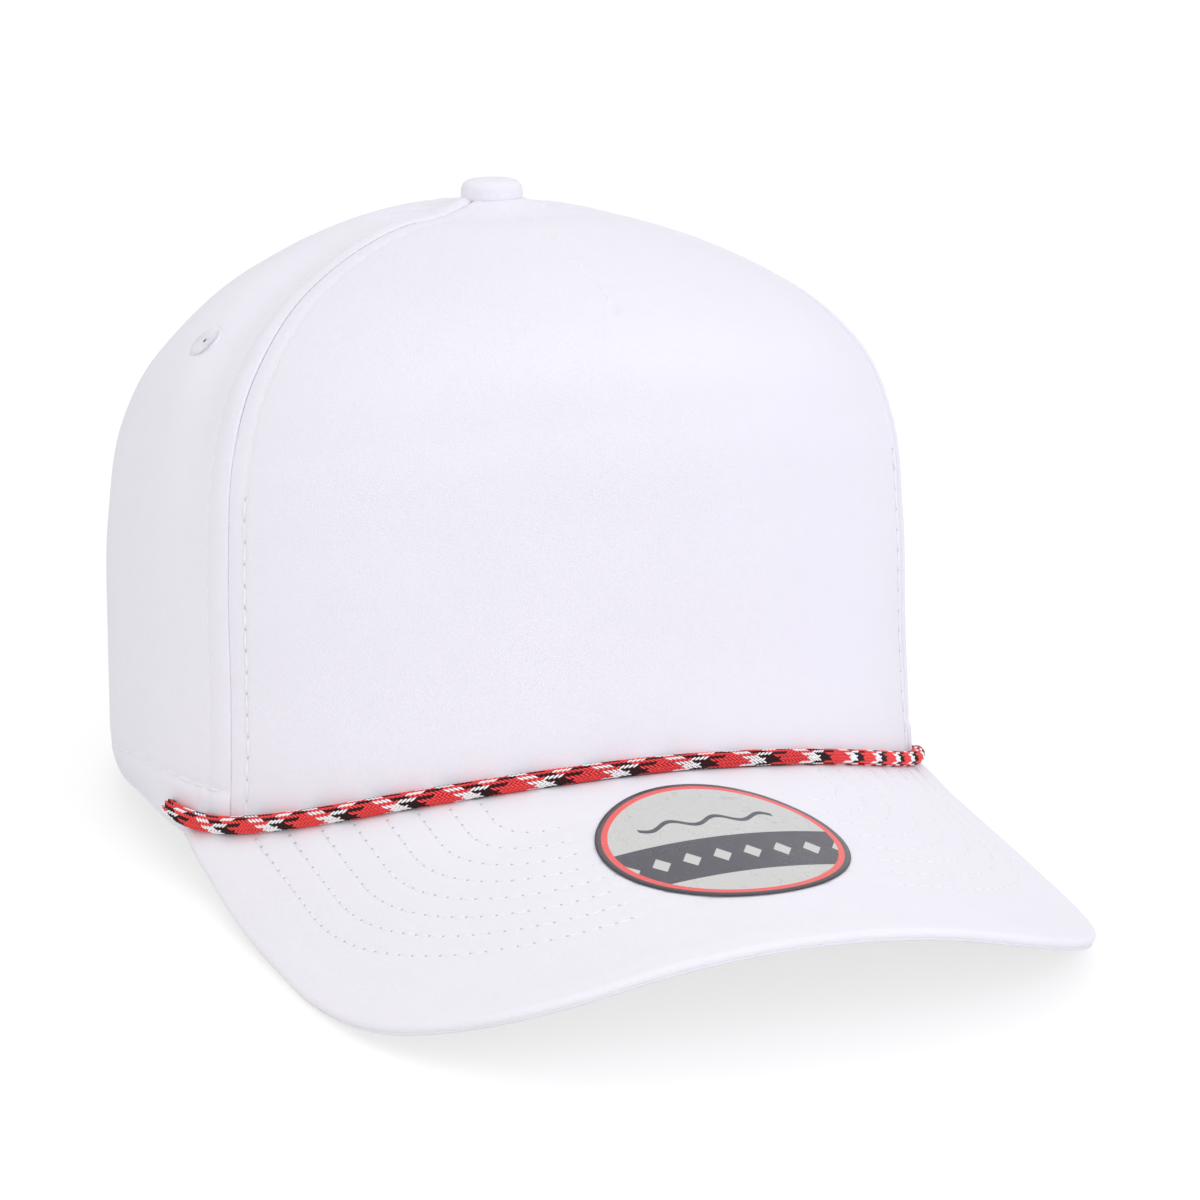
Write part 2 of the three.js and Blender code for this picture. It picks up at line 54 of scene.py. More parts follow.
# Crown, as in the solids
CROWN_HALF_WIDTH = 91
CROWN_FRONT_REACH = 83
CROWN_BACK_REACH = 92.3
CROWN_HEIGHT = 126.5
CROWN_TOP_SETBACK = 9.7
CROWN_WALL = 1.8
SIDE_RIM_HEIGHT = 2.4
HEM_BELOW_JOINT = 2
PLAN_POWER = {"rim": 2.045, "middle": 2.095, "top": 2}
FRONT_SEAM = {"rim": 62, "middle": 55, "top": 74}
BACK_SEAM = {"rim": 121, "middle": 122, "top": 127}
RIM_SETTLE = {"start": 60, "span": 28}
CROWN_SECTIONS = {
    "up": (0.00, 0.20, 0.40, 0.55, 0.68, 0.80, 0.90, 1.00),
    "front_reach": (1.000, 0.926, 0.908, 0.912, 0.867, 0.650, 0.360, 0.000),
    "front_height": (0.000, 0.225, 0.454, 0.648, 0.804, 0.905, 0.969, 1.000),
    "side_reach": (1.000, 0.996, 0.986, 0.946, 0.842, 0.630, 0.352, 0.000),
    "side_height": (0.000, 0.226, 0.455, 0.632, 0.764, 0.886, 0.963, 1.000),
    "back_reach": (1.000, 1.006, 0.974, 0.888, 0.751, 0.571, 0.317, 0.000),
    "back_height": (0.000, 0.187, 0.378, 0.529, 0.668, 0.868, 0.981, 1.000),
}

# Brim, as in the solids
BRIM_HALF_WIDTH = 92.6
BRIM_LENGTH = 79
BRIM_CORNER_RADIUS = 57.5
BRIM_FRONT_RADIUS = 400
BRIM_BEND_RADIUS = 150
BRIM_TILT = math.radians(10.4)
BRIM_ROOT_HEIGHT = 15.8
BRIM_THICKNESS = 2.6
BRIM_END_ANGLE = 71

# Smaller pieces, as in the solids
ROPE_DIAMETER = 5
BUTTON_HEIGHT = 3.8
BUTTON_STUD_RADIUS = 3
BUTTON_STUD_LENGTH = 4
EYELET_RADIUS = 5
EYELET_HOLE_RADIUS = 1.4
EYELET_UP = 0.71
EYELET_SIDE_ANGLE = 85
EYELET_BACK_ANGLE = 151
BAND_HEIGHT = 30
BAND_THICKNESS = 1.2
BAND_ABOVE_RIM = 1.5
BAND_END_ANGLE = 138
OPENING_HALF_WIDTH = 42
OPENING_HEIGHT = 50
STRAP_HEIGHT = 18
STRAP_THICKNESS = 1.4
STRAP_ABOVE_RIM = 1
STRAP_LAP = 12
CLEARANCE = 0.3
LINING_CLEARANCE = 0.6

# Sewing
PANEL_LENGTH = 165
STITCH_PITCH = 4.6
STITCH_GAP = 0.5
BRIM_STITCH_PITCH = 3.3
THREAD_WIDTH = 0.6
NEEDLE_HOLE = 0.5
BRIM_NEEDLE_HOLE = 0.62
SEAM_EDGE_ROUND = 0.4
SEAM_DEPTH = 0.13
FRONT_TOPSTITCH = 5
SIDE_TOPSTITCH = 7
BACK_TOPSTITCH = 5
ARCH_TOPSTITCH = 6
HEM_LINE = {
    "angle": (60, 67, 71, 75, 81, 89, 101, 125, 180),
    "height": (11.6, 12, 11.75, 11.25, 9.75, 8.5, 5.4, 6, 6),
}
SEWN_UP_TO = {"front": 0.935, "back_seam": 0.88, "centre_back": 0.87}
HEM_TURNED_IN = 1.7
DART_END_UP = 0.745
DART_OFFSET = -0.7
BRIM_STITCH_ROWS = 8
BRIM_ROW_SPACING = 6
BRIM_ROW_RADIUS = 52
BRIM_ROW_CENTRE = {"across": 28.8, "forward": 4.5}
UNDER_CLOTH_THICKNESS = 0.7
BRIM_SIDE_BULGE = {
    "forward": (-52, -29, -10, 4, 14, 25, 39, 52),
    "out": (0.4, 1.5, 2.0, 1.2, 0.3, -0.6, -0.8, 0),
}

# Top of the crown, where the layers of the seams lift the cloth and the button on it
CLOTH_RISE = 1.5
CLOTH_DIP = 0.7
BUTTON_SHIFT = -0.35
BUTTON_FACE = 5.05
DRAWN_BUTTON_RADIUS = 6.92

# Braid of the cord: as many strands wind each way, in three colours that lie side by side
STRANDS_EACH_WAY = 16
BRAID_PITCH = 15.4
BRAID_START = 1.5
WHITE_STRANDS = 4
BLACK_STRANDS = 4
FLOAT_LENGTH = 2.0
FLOAT_WIDTH = 0.68
FLOAT_HEIGHT = 0.7

# How the cord lies: its two ends, how far it has crept up at each angle round the crown, how tightly it is
# drawn along its length, where the braid is pushed together, and which way its main face looks
ROPE_RIGHT_END = -74.5
ROPE_LEFT_END = 66.5
ROPE_CREEP = {
    "angle": (-75, -60, -47, -35, -12, 10, 45, 75),
    "lift": (2.4, 1.3, 1.05, 0.85, -0.2, -0.6, -0.3, 0),
}
ROPE_GIRTH = {"share": (0, 0.05, 0.15, 0.35, 0.6, 1), "girth": (0.70, 0.80, 0.78, 0.75, 0.70, 0.69)}
BRAID_PUSH = {
    "braid": (0, 65, 95.4, 126.2, 157, 172, 219, 280),
    "cord": (0, 62, 92.1, 124.2, 156.7, 170, 201.5, 262),
}
MAIN_FACE = {"share": (0, 0.3, 0.5, 0.62, 0.72, 1), "turn": (-42, -36, -26, -10, 6, 10)}

# Sticker as it is seen in the photograph, and its print, from its centre towards the crown
DRAWN_STICKER_RADIUS = 26
DRAWN_STICKER_PLACE = {"across": -0.3, "from_joint": 33.6}
BAND_PLACE = -7.0
BAND_HALF_WIDTH = 8.1
WAVED_LINE_PLACE = 9.0

# Lighting: each lamp has a name, a place and a width in metres, a power in watts and a colour
STUDIO_LIGHT = 0.80
FLOOR_SHADOW = 0.34
FLOOR_LIFT = 0.71
COOL = (0.80, 0.83, 1.0)
NEUTRAL = (1.0, 1.0, 1.0)
LAMPS = (
    ("key_lamp", (0.9, -1.5, 1.7), 1.4, 10.5, COOL),
    ("low_right_lamp", (1.6, -1.2, 0.5), 1.2, 1.1, COOL),
    ("left_lamp", (-1.5, -1.4, 0.7), 1.2, 2.4, NEUTRAL),
    ("top_lamp", (0.0, 0.0, 2.2), 1.6, 4.3, NEUTRAL),
    ("camera_lamp", (-0.3, -2.2, 0.9), 1.4, 3.2, NEUTRAL),
)

# Camera, in the level frame
CAMERA_AZIMUTH = math.radians(-22.6)
CAMERA_RISE = math.radians(11.85)
CAMERA_ROLL = math.radians(-0.3)
CAMERA_DISTANCE = 900
CAMERA_AIM_FORWARD = 20
CAMERA_AIM_RIGHT = 12
CAMERA_AIM_HEIGHT = 40.65
CAMERA_LENS = 121.86


# Places
def resting_place():
    """The turn and shift from the level cap, in millimetres, to the cap at rest, in metres."""
    top = next(mount for mount in frame["record"]["mounts"] if mount["name"] == "button_top")
    axis = Vector(top["axis"])
    tip = Matrix.Rotation(-math.atan2(axis.y, axis.z), 4, "X") @ Matrix.Scale(MM, 4)
    button_face = tip @ Vector((0, CROWN_TOP_SETBACK, CROWN_HEIGHT + BUTTON_HEIGHT))
    return Matrix.Translation(Vector(top["pos_m"]) - button_face) @ tip


RESTING = resting_place()


def place_camera():
    back = Vector((
        math.sin(CAMERA_AZIMUTH) * math.cos(CAMERA_RISE),
        -math.cos(CAMERA_AZIMUTH) * math.cos(CAMERA_RISE),
        math.sin(CAMERA_RISE),
    ))
    right = Vector((math.cos(CAMERA_AZIMUTH), math.sin(CAMERA_AZIMUTH), 0))
    up = back.cross(right)
    aim = Vector((0, -CAMERA_AIM_FORWARD, CAMERA_AIM_HEIGHT)) + CAMERA_AIM_RIGHT * right
    place = RESTING @ (aim + CAMERA_DISTANCE * back)
    axes = Matrix((
        right * math.cos(CAMERA_ROLL) + up * math.sin(CAMERA_ROLL),
        up * math.cos(CAMERA_ROLL) - right * math.sin(CAMERA_ROLL),
        back,
    )).transposed()
    turned = RESTING.to_3x3().normalized() @ axes
    camera = bpy.data.objects.new("camera", bpy.data.cameras.new("camera"))
    camera.data.lens = CAMERA_LENS
    camera.matrix_world = Matrix.Translation(place) @ turned.to_4x4()
    bpy.context.scene.collection.objects.link(camera)
    bpy.context.scene.camera = camera


place_camera()


# Small helpers on arrays
def mix(start, end, share):
    return start + (end - start) * share


def smooth(share):
    kept = np.clip(share, 0, 1)
    return kept * kept * (3 - 2 * kept)


def hump(distance, width):
    return np.exp(-((distance / width) ** 2))


def unit(vectors):
    return vectors / np.linalg.norm(vectors, axis=-1, keepdims=True)


def spread(share, knots, places):
    """Moves evenly spaced shares so that they lie closer together where there is fine detail."""
    return np.interp(share, knots, places)


def read_table(table, place):
    """The second column of a small table at any place along its first column."""
    knots, values = table.values()
    return np.interp(place, knots, values)


def on_border(across, along):
    """Which places, given as shares, lie on the border of their grid."""
    return np.minimum(np.minimum(across, 1 - across), np.minimum(along, 1 - along)) < 1e-6


def round_edge(distance, radius):
    """Half-round edge of a cloth, as a share of its half thickness."""
    inward = 1 - np.clip(distance / radius, 0, 1)
    return np.sqrt(np.clip(1 - inward * inward, 0, 1))


def ripple(place, wavelength, seed):
    """Soft uneven waves along a line, from about -1 to 1, the same on every run."""
    draw = random.Random(seed)
    waves = [np.sin(2 * np.pi * place / (wavelength * stretch) + draw.uniform(0, 2 * np.pi))
             for stretch in (0.61, 1.0, 1.37, 2.1)]
    return sum(waves) / len(waves)


def bisect(low, high, is_past):
    near = np.array(low, float)
    far = np.array(high, float)
    for _ in range(40):
        middle = (near + far) / 2
        past = is_past(middle)
        near = np.where(past, near, middle)
        far = np.where(past, middle, far)
    return (near + far) / 2


# Brim surface: a flat sheet bent over a round form whose axis tilts down towards the front
BRIM_FORWARD = np.array((0, -math.cos(BRIM_TILT), -math.sin(BRIM_TILT)))
BRIM_UP = np.array((0, -math.sin(BRIM_TILT), math.cos(BRIM_TILT)))
BRIM_ROOT = np.array((0, -CROWN_FRONT_REACH, BRIM_ROOT_HEIGHT))
SIDEWAYS = np.array((1, 0, 0))


def brim_normal(across):
    turn = np.asarray(across)[..., None] / BRIM_BEND_RADIUS
    return np.sin(turn) * SIDEWAYS + np.cos(turn) * BRIM_UP


def brim_point(across, forward):
    turn = np.asarray(across)[..., None] / BRIM_BEND_RADIUS
    sag = BRIM_BEND_RADIUS * (1 - np.cos(turn))
    reach = np.asarray(forward)[..., None] * BRIM_FORWARD
    return BRIM_ROOT + BRIM_BEND_RADIUS * np.sin(turn) * SIDEWAYS + reach - sag * BRIM_UP


def brim_place(x, y):
    """The flat place on the brim's sheet above a point given in plan."""
    turn = np.arcsin(np.clip(x / BRIM_BEND_RADIUS, -1, 1))
    sag = BRIM_BEND_RADIUS * (1 - np.cos(turn))
    forward = (BRIM_ROOT[1] - y + sag * math.sin(BRIM_TILT)) / math.cos(BRIM_TILT)
    return BRIM_BEND_RADIUS * turn, forward


def brim_height(x, y):
    return brim_point(*brim_place(x, y))[..., 2]


# Crown surface
def section_share(column, up):
    """One column of the section table at any height, through its rows on a smooth curve."""
    knots = np.array(CROWN_SECTIONS["up"])
    values = np.array(CROWN_SECTIONS[column])
    spans = np.diff(knots)
    slopes = np.diff(values) / spans
    inner = (spans[1:] * slopes[:-1] + spans[:-1] * slopes[1:]) / (spans[1:] + spans[:-1])
    tangents = np.concatenate((slopes[:1], inner, slopes[-1:]))
    row = np.clip(np.searchsorted(knots, up, side="right") - 1, 0, len(spans) - 1)
    s = (up - knots[row]) / spans[row]
    start = (2 * s**3 - 3 * s**2 + 1) * values[row] + (s**3 - 2 * s**2 + s) * spans[row] * tangents[row]
    end = (3 * s**2 - 2 * s**3) * values[row + 1] + (s**3 - s**2) * spans[row] * tangents[row + 1]
    return start + end


def rim_plan(angle, front_reach, side_reach, back_reach, power):
    turn = np.radians(angle)
    out = np.sign(np.sin(turn)) * np.abs(np.sin(turn)) ** (2 / power)
    ahead = np.sign(np.cos(turn)) * np.abs(np.cos(turn)) ** (2 / power)
    return side_reach * out, -np.where(ahead > 0, front_reach, back_reach) * ahead


def rim_settled(angle):
    return smooth((np.abs(angle) - RIM_SETTLE["start"]) / RIM_SETTLE["span"])


def brim_height_at_rim(angle):
    held = np.minimum(np.abs(angle), BRIM_END_ANGLE)
    plan = rim_plan(held, CROWN_FRONT_REACH, CROWN_HALF_WIDTH, CROWN_BACK_REACH, PLAN_POWER["rim"])
    return brim_height(*plan)


def joint_height(angle):
    return mix(brim_height_at_rim(angle), SIDE_RIM_HEIGHT, rim_settled(angle))


def rim_height(angle):
    return joint_height(angle) - HEM_BELOW_JOINT * (1 - rim_settled(angle))


def crown_point(angle, up):
    """Outside of the crown. The angle runs round from the front, positive to the wearer's left."""
    angle, up = np.broadcast_arrays(np.asarray(angle, float), np.asarray(up, float))
    front = section_share("front_reach", up)
    back = section_share("back_reach", up)
    belly = mix(PLAN_POWER["rim"], PLAN_POWER["middle"], np.sin(np.pi * np.clip(up, 0, 1)))
    x, y = rim_plan(
        angle,
        CROWN_FRONT_REACH * front,
        CROWN_HALF_WIDTH * section_share("side_reach", up),
        CROWN_BACK_REACH * back,
        mix(belly, PLAN_POWER["top"], up**3),
    )
    ahead = np.cos(np.radians(angle))
    reach_share = mix(back, front, smooth(0.5 + 4 * ahead))
    end_height = np.where(ahead > 0, section_share("front_height", up), section_share("back_height", up))
    height_share = mix(section_share("side_height", up), end_height, ahead * ahead)
    rim = rim_height(angle)
    z = rim + (CROWN_HEIGHT - rim) * height_share
    return np.stack((x, y + CROWN_TOP_SETBACK * (1 - reach_share), z), axis=-1)


def crown_normal(angle, up):
    angle_step = 0.2
    up_step = 0.002
    low = np.maximum(up - up_step, 0)
    high = np.minimum(up + up_step, 1 - up_step)
    along_rim = crown_point(angle + angle_step, up) - crown_point(angle - angle_step, up)
    along_panel = crown_point(angle, high) - crown_point(angle, low)
    return unit(np.cross(along_rim, along_panel))


def crown_skin(angle, up, depth):
    depth = np.asarray(depth, float)[..., None]
    return crown_point(angle, up) - crown_normal(angle, up) * depth


def reach_from_top(angle, up):
    point = crown_point(angle, up)
    return np.hypot(point[..., 0], point[..., 1] - CROWN_TOP_SETBACK)


def up_at_height(angle, height):
    low = np.zeros_like(np.asarray(angle, float))
    return bisect(low, low + 0.9, lambda up: crown_point(angle, up)[..., 2] > height)


def up_at_reach(angle, radius):
    low = np.full_like(np.asarray(angle, float), 0.6)
    return bisect(low, low + 0.4, lambda up: reach_from_top(angle, up) < radius)


def seam_angle(seam, up):
    below = 1 - up
    return seam["rim"] * below * below + 2 * seam["middle"] * below * up + seam["top"] * up * up


def past_seam(seam, angle, up):
    """Distance round the crown past a seam, towards the back."""
    return np.radians(np.abs(angle) - seam_angle(seam, up)) * reach_from_top(angle, up)


def from_centre_back(angle, up):
    return np.radians(180 - np.abs(angle)) * reach_from_top(angle, up)


def above_rim(angle, up):
    return crown_point(angle, up)[..., 2] - rim_height(angle)


def past_arch(angle, up):
    """Distance outside the arch of the back opening, seen from behind."""
    point = crown_point(angle, up)
    across = point[..., 0] / OPENING_HALF_WIDTH
    height = (point[..., 2] - rim_height(180.0)) / OPENING_HEIGHT
    mean_radius = (OPENING_HALF_WIDTH + OPENING_HEIGHT) / 2
    return (np.hypot(across, height) - 1) * mean_radius


# Meshes
def new_piece(name, mesh, materials, replaces=()):
    """A finished piece: its place is in its mesh, and it rides on the cap's one body."""
    mesh.name = name
    mesh.transform(RESTING)
    mesh.shade_smooth()
    for material in materials:
        mesh.materials.append(material)
    piece = bpy.data.objects.new(name, mesh)
    bpy.context.scene.collection.objects.link(piece)
    if replaces:
        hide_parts(*replaces)
    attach(piece, "root")
    return piece


def to_mesh(bm, name="made"):
    mesh = bpy.data.meshes.new(name)
    bm.to_mesh(mesh)
    bm.free()
    return mesh


def coordinates(mesh):
    found = np.empty(len(mesh.vertices) * 3, np.float32)
    mesh.vertices.foreach_get("co", found)
    return found.reshape(-1, 3).astype(float)


def set_coordinates(mesh, points):
    mesh.vertices.foreach_set("co", np.asarray(points, np.float32).ravel())
    mesh.update()


def keep_flat_map(mesh, flat):
    """The cloth's own flat coordinates, in millimetres, as a UV map that follows the surface."""
    layer = mesh.uv_layers.new(name="flat")
    corners = np.empty(len(mesh.loops), np.int32)
    mesh.loops.foreach_get("vertex_index", corners)
    layer.uv.foreach_set("vector", np.asarray(flat, np.float32)[corners].ravel())


def closed_shell(columns, rows, faces_of, weld=0.004, openings=()):
    """Two faces of one cloth, each a grid, that meet all round its edge.

    `faces_of(across, along)` takes shares and gives the outer points, the inner points and the flat map.
    Each opening is a centre and a radius: what lies inside it is cut out and walled.
    """
    bm = bmesh.new()
    flat_layer = bm.verts.layers.float_vector.new("flat_place")
    for side in (0, 1):
        made = bmesh.ops.create_grid(bm, x_segments=columns, y_segments=rows, size=0.5)["verts"]
        shares = np.array([(vert.co.x + 0.5, vert.co.y + 0.5) for vert in made])
        outer, inner, flat = faces_of(shares[:, 0], shares[:, 1])
        for vert, point, place in zip(made, (outer, inner)[side].tolist(), flat.tolist()):
            vert.co = point
            vert[flat_layer] = (*place, 0)
        if side == 1:
            faces = list({face for vert in made for face in vert.link_faces})
            bmesh.ops.reverse_faces(bm, faces=faces)
    for centre, radius in openings:
        cut_opening(bm, Vector(centre), radius)
    bmesh.ops.remove_doubles(bm, verts=bm.verts, dist=weld)
    mesh = to_mesh(bm)
    attribute = mesh.attributes["flat_place"]
    flat = np.empty(len(mesh.vertices) * 3, np.float32)
    attribute.data.foreach_get("vector", flat)
    mesh.attributes.remove(attribute)
    keep_flat_map(mesh, flat.reshape(-1, 3)[:, :2])
    return mesh


def cut_opening(bm, centre, radius):
    """Takes out the faces round a centre on both sides of the cloth and walls the two loops together."""
    inside = [face for face in bm.faces if (face.calc_center_median() - centre).length < radius]
    loops = {edge for face in inside for edge in face.edges}
    bmesh.ops.delete(bm, geom=inside, context="FACES")
    border = [edge for edge in loops if edge.is_valid and len(edge.link_faces) == 1]
    bmesh.ops.bridge_loops(bm, edges=border)


def mirrored(mesh):
    """The right-hand twin of a left-hand piece."""
    points = coordinates(mesh)
    points[:, 0] *= -1
    set_coordinates(mesh, points)
    mesh.flip_normals()
    return mesh


def ball(longitudes, latitudes):
    bm = bmesh.new()
    bmesh.ops.create_uvsphere(bm, u_segments=longitudes, v_segments=latitudes, radius=1)
    return to_mesh(bm, "ball")


def polar_shares(mesh):
    """For each vertex of a ball: its turn round the axis, and its share of the way from top to bottom."""
    points = coordinates(mesh)
    turn = np.arctan2(points[:, 1], points[:, 0])
    return turn, np.arccos(np.clip(points[:, 2], -1, 1)) / np.pi


def turned(profile, longitudes, latitudes):
    """A turned body from a profile of radius and height that starts and ends on the axis."""
    mesh = ball(longitudes, latitudes)
    turn, down = polar_shares(mesh)
    profile = np.array(profile, float)
    run = np.concatenate(([0], np.cumsum(np.linalg.norm(np.diff(profile, axis=0), axis=1))))
    radius = np.interp(down * run[-1], run, profile[:, 0])
    height = np.interp(down * run[-1], run, profile[:, 1])
    set_coordinates(mesh, np.stack((radius * np.cos(turn), radius * np.sin(turn), height), axis=1))
    return mesh


def repeated(template, count):
    """One mesh that holds `count` copies of a template, one after the other."""
    holder = bpy.data.objects.new("template", template)
    bpy.context.scene.collection.objects.link(holder)
    copies = holder.modifiers.new("copies", "ARRAY")
    copies.count = count
    copies.use_relative_offset = False
    copies.use_constant_offset = True
    copies.constant_offset_displace = (0, 0, 0)
    depsgraph = bpy.context.evaluated_depsgraph_get()
    mesh = bpy.data.meshes.new_from_object(holder.evaluated_get(depsgraph))
    bpy.data.objects.remove(holder)
    return mesh


def set_out(template, centres, tangents, normals):
    """Copies of a template laid at the centres, its x along the tangents and its z along the normals."""
    local = coordinates(template)
    mesh = repeated(template, len(centres))
    sides = unit(np.cross(normals, tangents))
    lifts = np.cross(tangents, sides)
    points = (
        centres[:, None]
        + local[None, :, :1] * tangents[:, None]
        + local[None, :, 1:2] * sides[:, None]
        + local[None, :, 2:] * lifts[:, None]
    )
    set_coordinates(mesh, points.reshape(-1, 3))
    return mesh


def joined(meshes):
    bm = bmesh.new()
    for mesh in meshes:
        bm.from_mesh(mesh)
        bpy.data.meshes.remove(mesh)
    return to_mesh(bm)


# Sewing
def along_line(points, values, places):
    """Values at given distances along a line of points."""
    steps = np.linalg.norm(np.diff(points, axis=0), axis=1)
    run = np.concatenate(([0], np.cumsum(steps)))
    return np.stack([np.interp(places, run, values[:, axis]) for axis in range(values.shape[1])], axis=1)


def line_length(points):
    return float(np.linalg.norm(np.diff(points, axis=0), axis=1).sum())


class Sewing:
    """Threads and needle holes that share a piece."""

    def __init__(self, pitch=STITCH_PITCH, hole_width=NEEDLE_HOLE, hole_lift=0.0, gap=STITCH_GAP):
        self.pitch = pitch
        self.gap = gap
        self.hole_width = hole_width
        self.hole_lift = hole_lift
        self.threads = []
        self.holes = []

    def line(self, points, normals, with_holes=True):
        length = line_length(points)
        count = max(int(round(length / self.pitch)), 1)
        step = length / count
        centres = (np.arange(count) + 0.5) * step
        ends = np.arange(count + 1) * step
        middle = along_line(points, points, centres)
        ahead = along_line(points, points, centres + step * 0.4)
        behind = along_line(points, points, centres - step * 0.4)
        self.threads.append((middle, unit(ahead - behind), unit(along_line(points, normals, centres))))
        if not with_holes:
            return
        at = along_line(points, points, ends)
        after = along_line(points, points, np.minimum(ends + 0.5, length))
        before = along_line(points, points, np.maximum(ends - 0.5, 0))
        upward = unit(along_line(points, normals, ends))
        self.holes.append((at + upward * self.hole_lift, unit(after - before), upward))

    def thread_mesh(self):
        grain = ball(6, 6)
        shape = coordinates(grain)
        along = np.sign(shape[:, 2]) * np.abs(shape[:, 2]) ** 0.8 * (self.pitch - self.gap) / 2
        points = np.stack((along, shape[:, 0] * THREAD_WIDTH / 2, shape[:, 1] * THREAD_WIDTH / 2), axis=1)
        set_coordinates(grain, points)
        return set_out(grain, *[np.concatenate(parts) for parts in zip(*self.threads)])

    def hole_mesh(self):
        # Small flat discs at the needle holes, whose colour is painted shade.
        dimple = ball(8, 4)
        shape = coordinates(dimple)
        set_coordinates(dimple, shape * (self.hole_width / 2, self.hole_width / 2, 0.12))
        return set_out(dimple, *[np.concatenate(parts) for parts in zip(*self.holes)])


def sew(name, sewing, thread, needle_hole):
    new_piece(name + "_threads", sewing.thread_mesh(), [thread])
    new_piece(name + "_needle_hole_shade", sewing.hole_mesh(), [needle_hole])


# Shader groups
def new_group(name, inputs, outputs):
    tree = bpy.data.node_groups.new(name, "ShaderNodeTree")
    for socket_name, kind, default in inputs:
        socket = tree.interface.new_socket(name=socket_name, in_out="INPUT", socket_type=kind)
        if default is not None:
            socket.default_value = default
    for socket_name, kind in outputs:
        tree.interface.new_socket(name=socket_name, in_out="OUTPUT", socket_type=kind)
    return tree, tree.nodes.new("NodeGroupInput"), tree.nodes.new("NodeGroupOutput")


def feed(tree, socket, value):
    """Links a socket to another one, or sets it to a plain value."""
    if isinstance(value, bpy.types.NodeSocket):
        tree.links.new(value, socket)
    else:
        socket.default_value = value


def calculate(tree, operation, *values):
    node = tree.nodes.new("ShaderNodeMath")
    node.operation = operation
    for socket, value in zip(node.inputs, values):
        feed(tree, socket, value)
    return node.outputs[0]


def between(tree, share, low, high):
    """Two colours or values, mixed by a share."""
    is_colour = isinstance(low, tuple) or getattr(low, "type", "") == "RGBA"
    node = tree.nodes.new("ShaderNodeMix")
    node.data_type = "RGBA" if is_colour else "FLOAT"
    chosen = [socket for socket in node.inputs if socket.enabled]
    for socket, value in zip(chosen, (share, low, high)):
        feed(tree, socket, value)
    return next(socket for socket in node.outputs if socket.enabled)


def noise_value(tree, place, scale, detail=2.0):
    node = tree.nodes.new("ShaderNodeTexNoise")
    node.inputs["Scale"].default_value = 1
    node.inputs["Detail"].default_value = detail
    scaled = tree.nodes.new("ShaderNodeVectorMath")
    scaled.operation = "SCALE"
    feed(tree, scaled.inputs[0], place)
    feed(tree, scaled.inputs["Scale"], scale)
    tree.links.new(scaled.outputs[0], node.inputs["Vector"])
    return node.outputs[0]


def weave_group():
    """Plain weave: threads that cross over and under, from a flat place in millimetres."""
    tree, given, made = new_group(
        "plain_weave",
        [("Place", "NodeSocketVector", None), ("Threads per mm", "NodeSocketFloat", 3.0)],
        [("Height", "NodeSocketFloat")],
    )
    parts = tree.nodes.new("ShaderNodeSeparateXYZ")
    tree.links.new(given.outputs["Place"], parts.inputs[0])
    warp = calculate(tree, "MULTIPLY", parts.outputs["X"], given.outputs["Threads per mm"])
    weft = calculate(tree, "MULTIPLY", parts.outputs["Y"], given.outputs["Threads per mm"])
    order = calculate(tree, "ADD", calculate(tree, "FLOOR", warp), calculate(tree, "FLOOR", weft))
    is_odd = calculate(tree, "PINGPONG", order, 1.0)
    rounds = []
    for threads in (warp, weft):
        wave = calculate(tree, "SINE", calculate(tree, "MULTIPLY", threads, math.pi))
        rounds.append(calculate(tree, "ABSOLUTE", wave))
    tree.links.new(between(tree, is_odd, *rounds), made.inputs["Height"])
    return tree


def uneven_group():
    """Slow unevenness in two sizes, such as cloth that has been handled."""
    tree, given, made = new_group(
        "soft_unevenness",
        [("Place", "NodeSocketVector", None), ("Scale", "NodeSocketFloat", 20.0),
         ("Low", "NodeSocketFloat", 0.0), ("High", "NodeSocketFloat", 1.0)],
        [("Value", "NodeSocketFloat")],
    )
    coarse = noise_value(tree, given.outputs["Place"], given.outputs["Scale"])
    fine_scale = calculate(tree, "MULTIPLY", given.outputs["Scale"], 7.0)
    fine = noise_value(tree, given.outputs["Place"], fine_scale)
    both = calculate(tree, "MULTIPLY_ADD", fine, 0.35, calculate(tree, "MULTIPLY", coarse, 0.65))
    spread_out = tree.nodes.new("ShaderNodeMapRange")
    tree.links.new(both, spread_out.inputs["Value"])
    spread_out.inputs["From Min"].default_value = 0.35
    spread_out.inputs["From Max"].default_value = 0.65
    tree.links.new(given.outputs["Low"], spread_out.inputs["To Min"])
    tree.links.new(given.outputs["High"], spread_out.inputs["To Max"])
    tree.links.new(spread_out.outputs[0], made.inputs["Value"])
    return tree


WEAVE = weave_group()
UNEVEN = uneven_group()


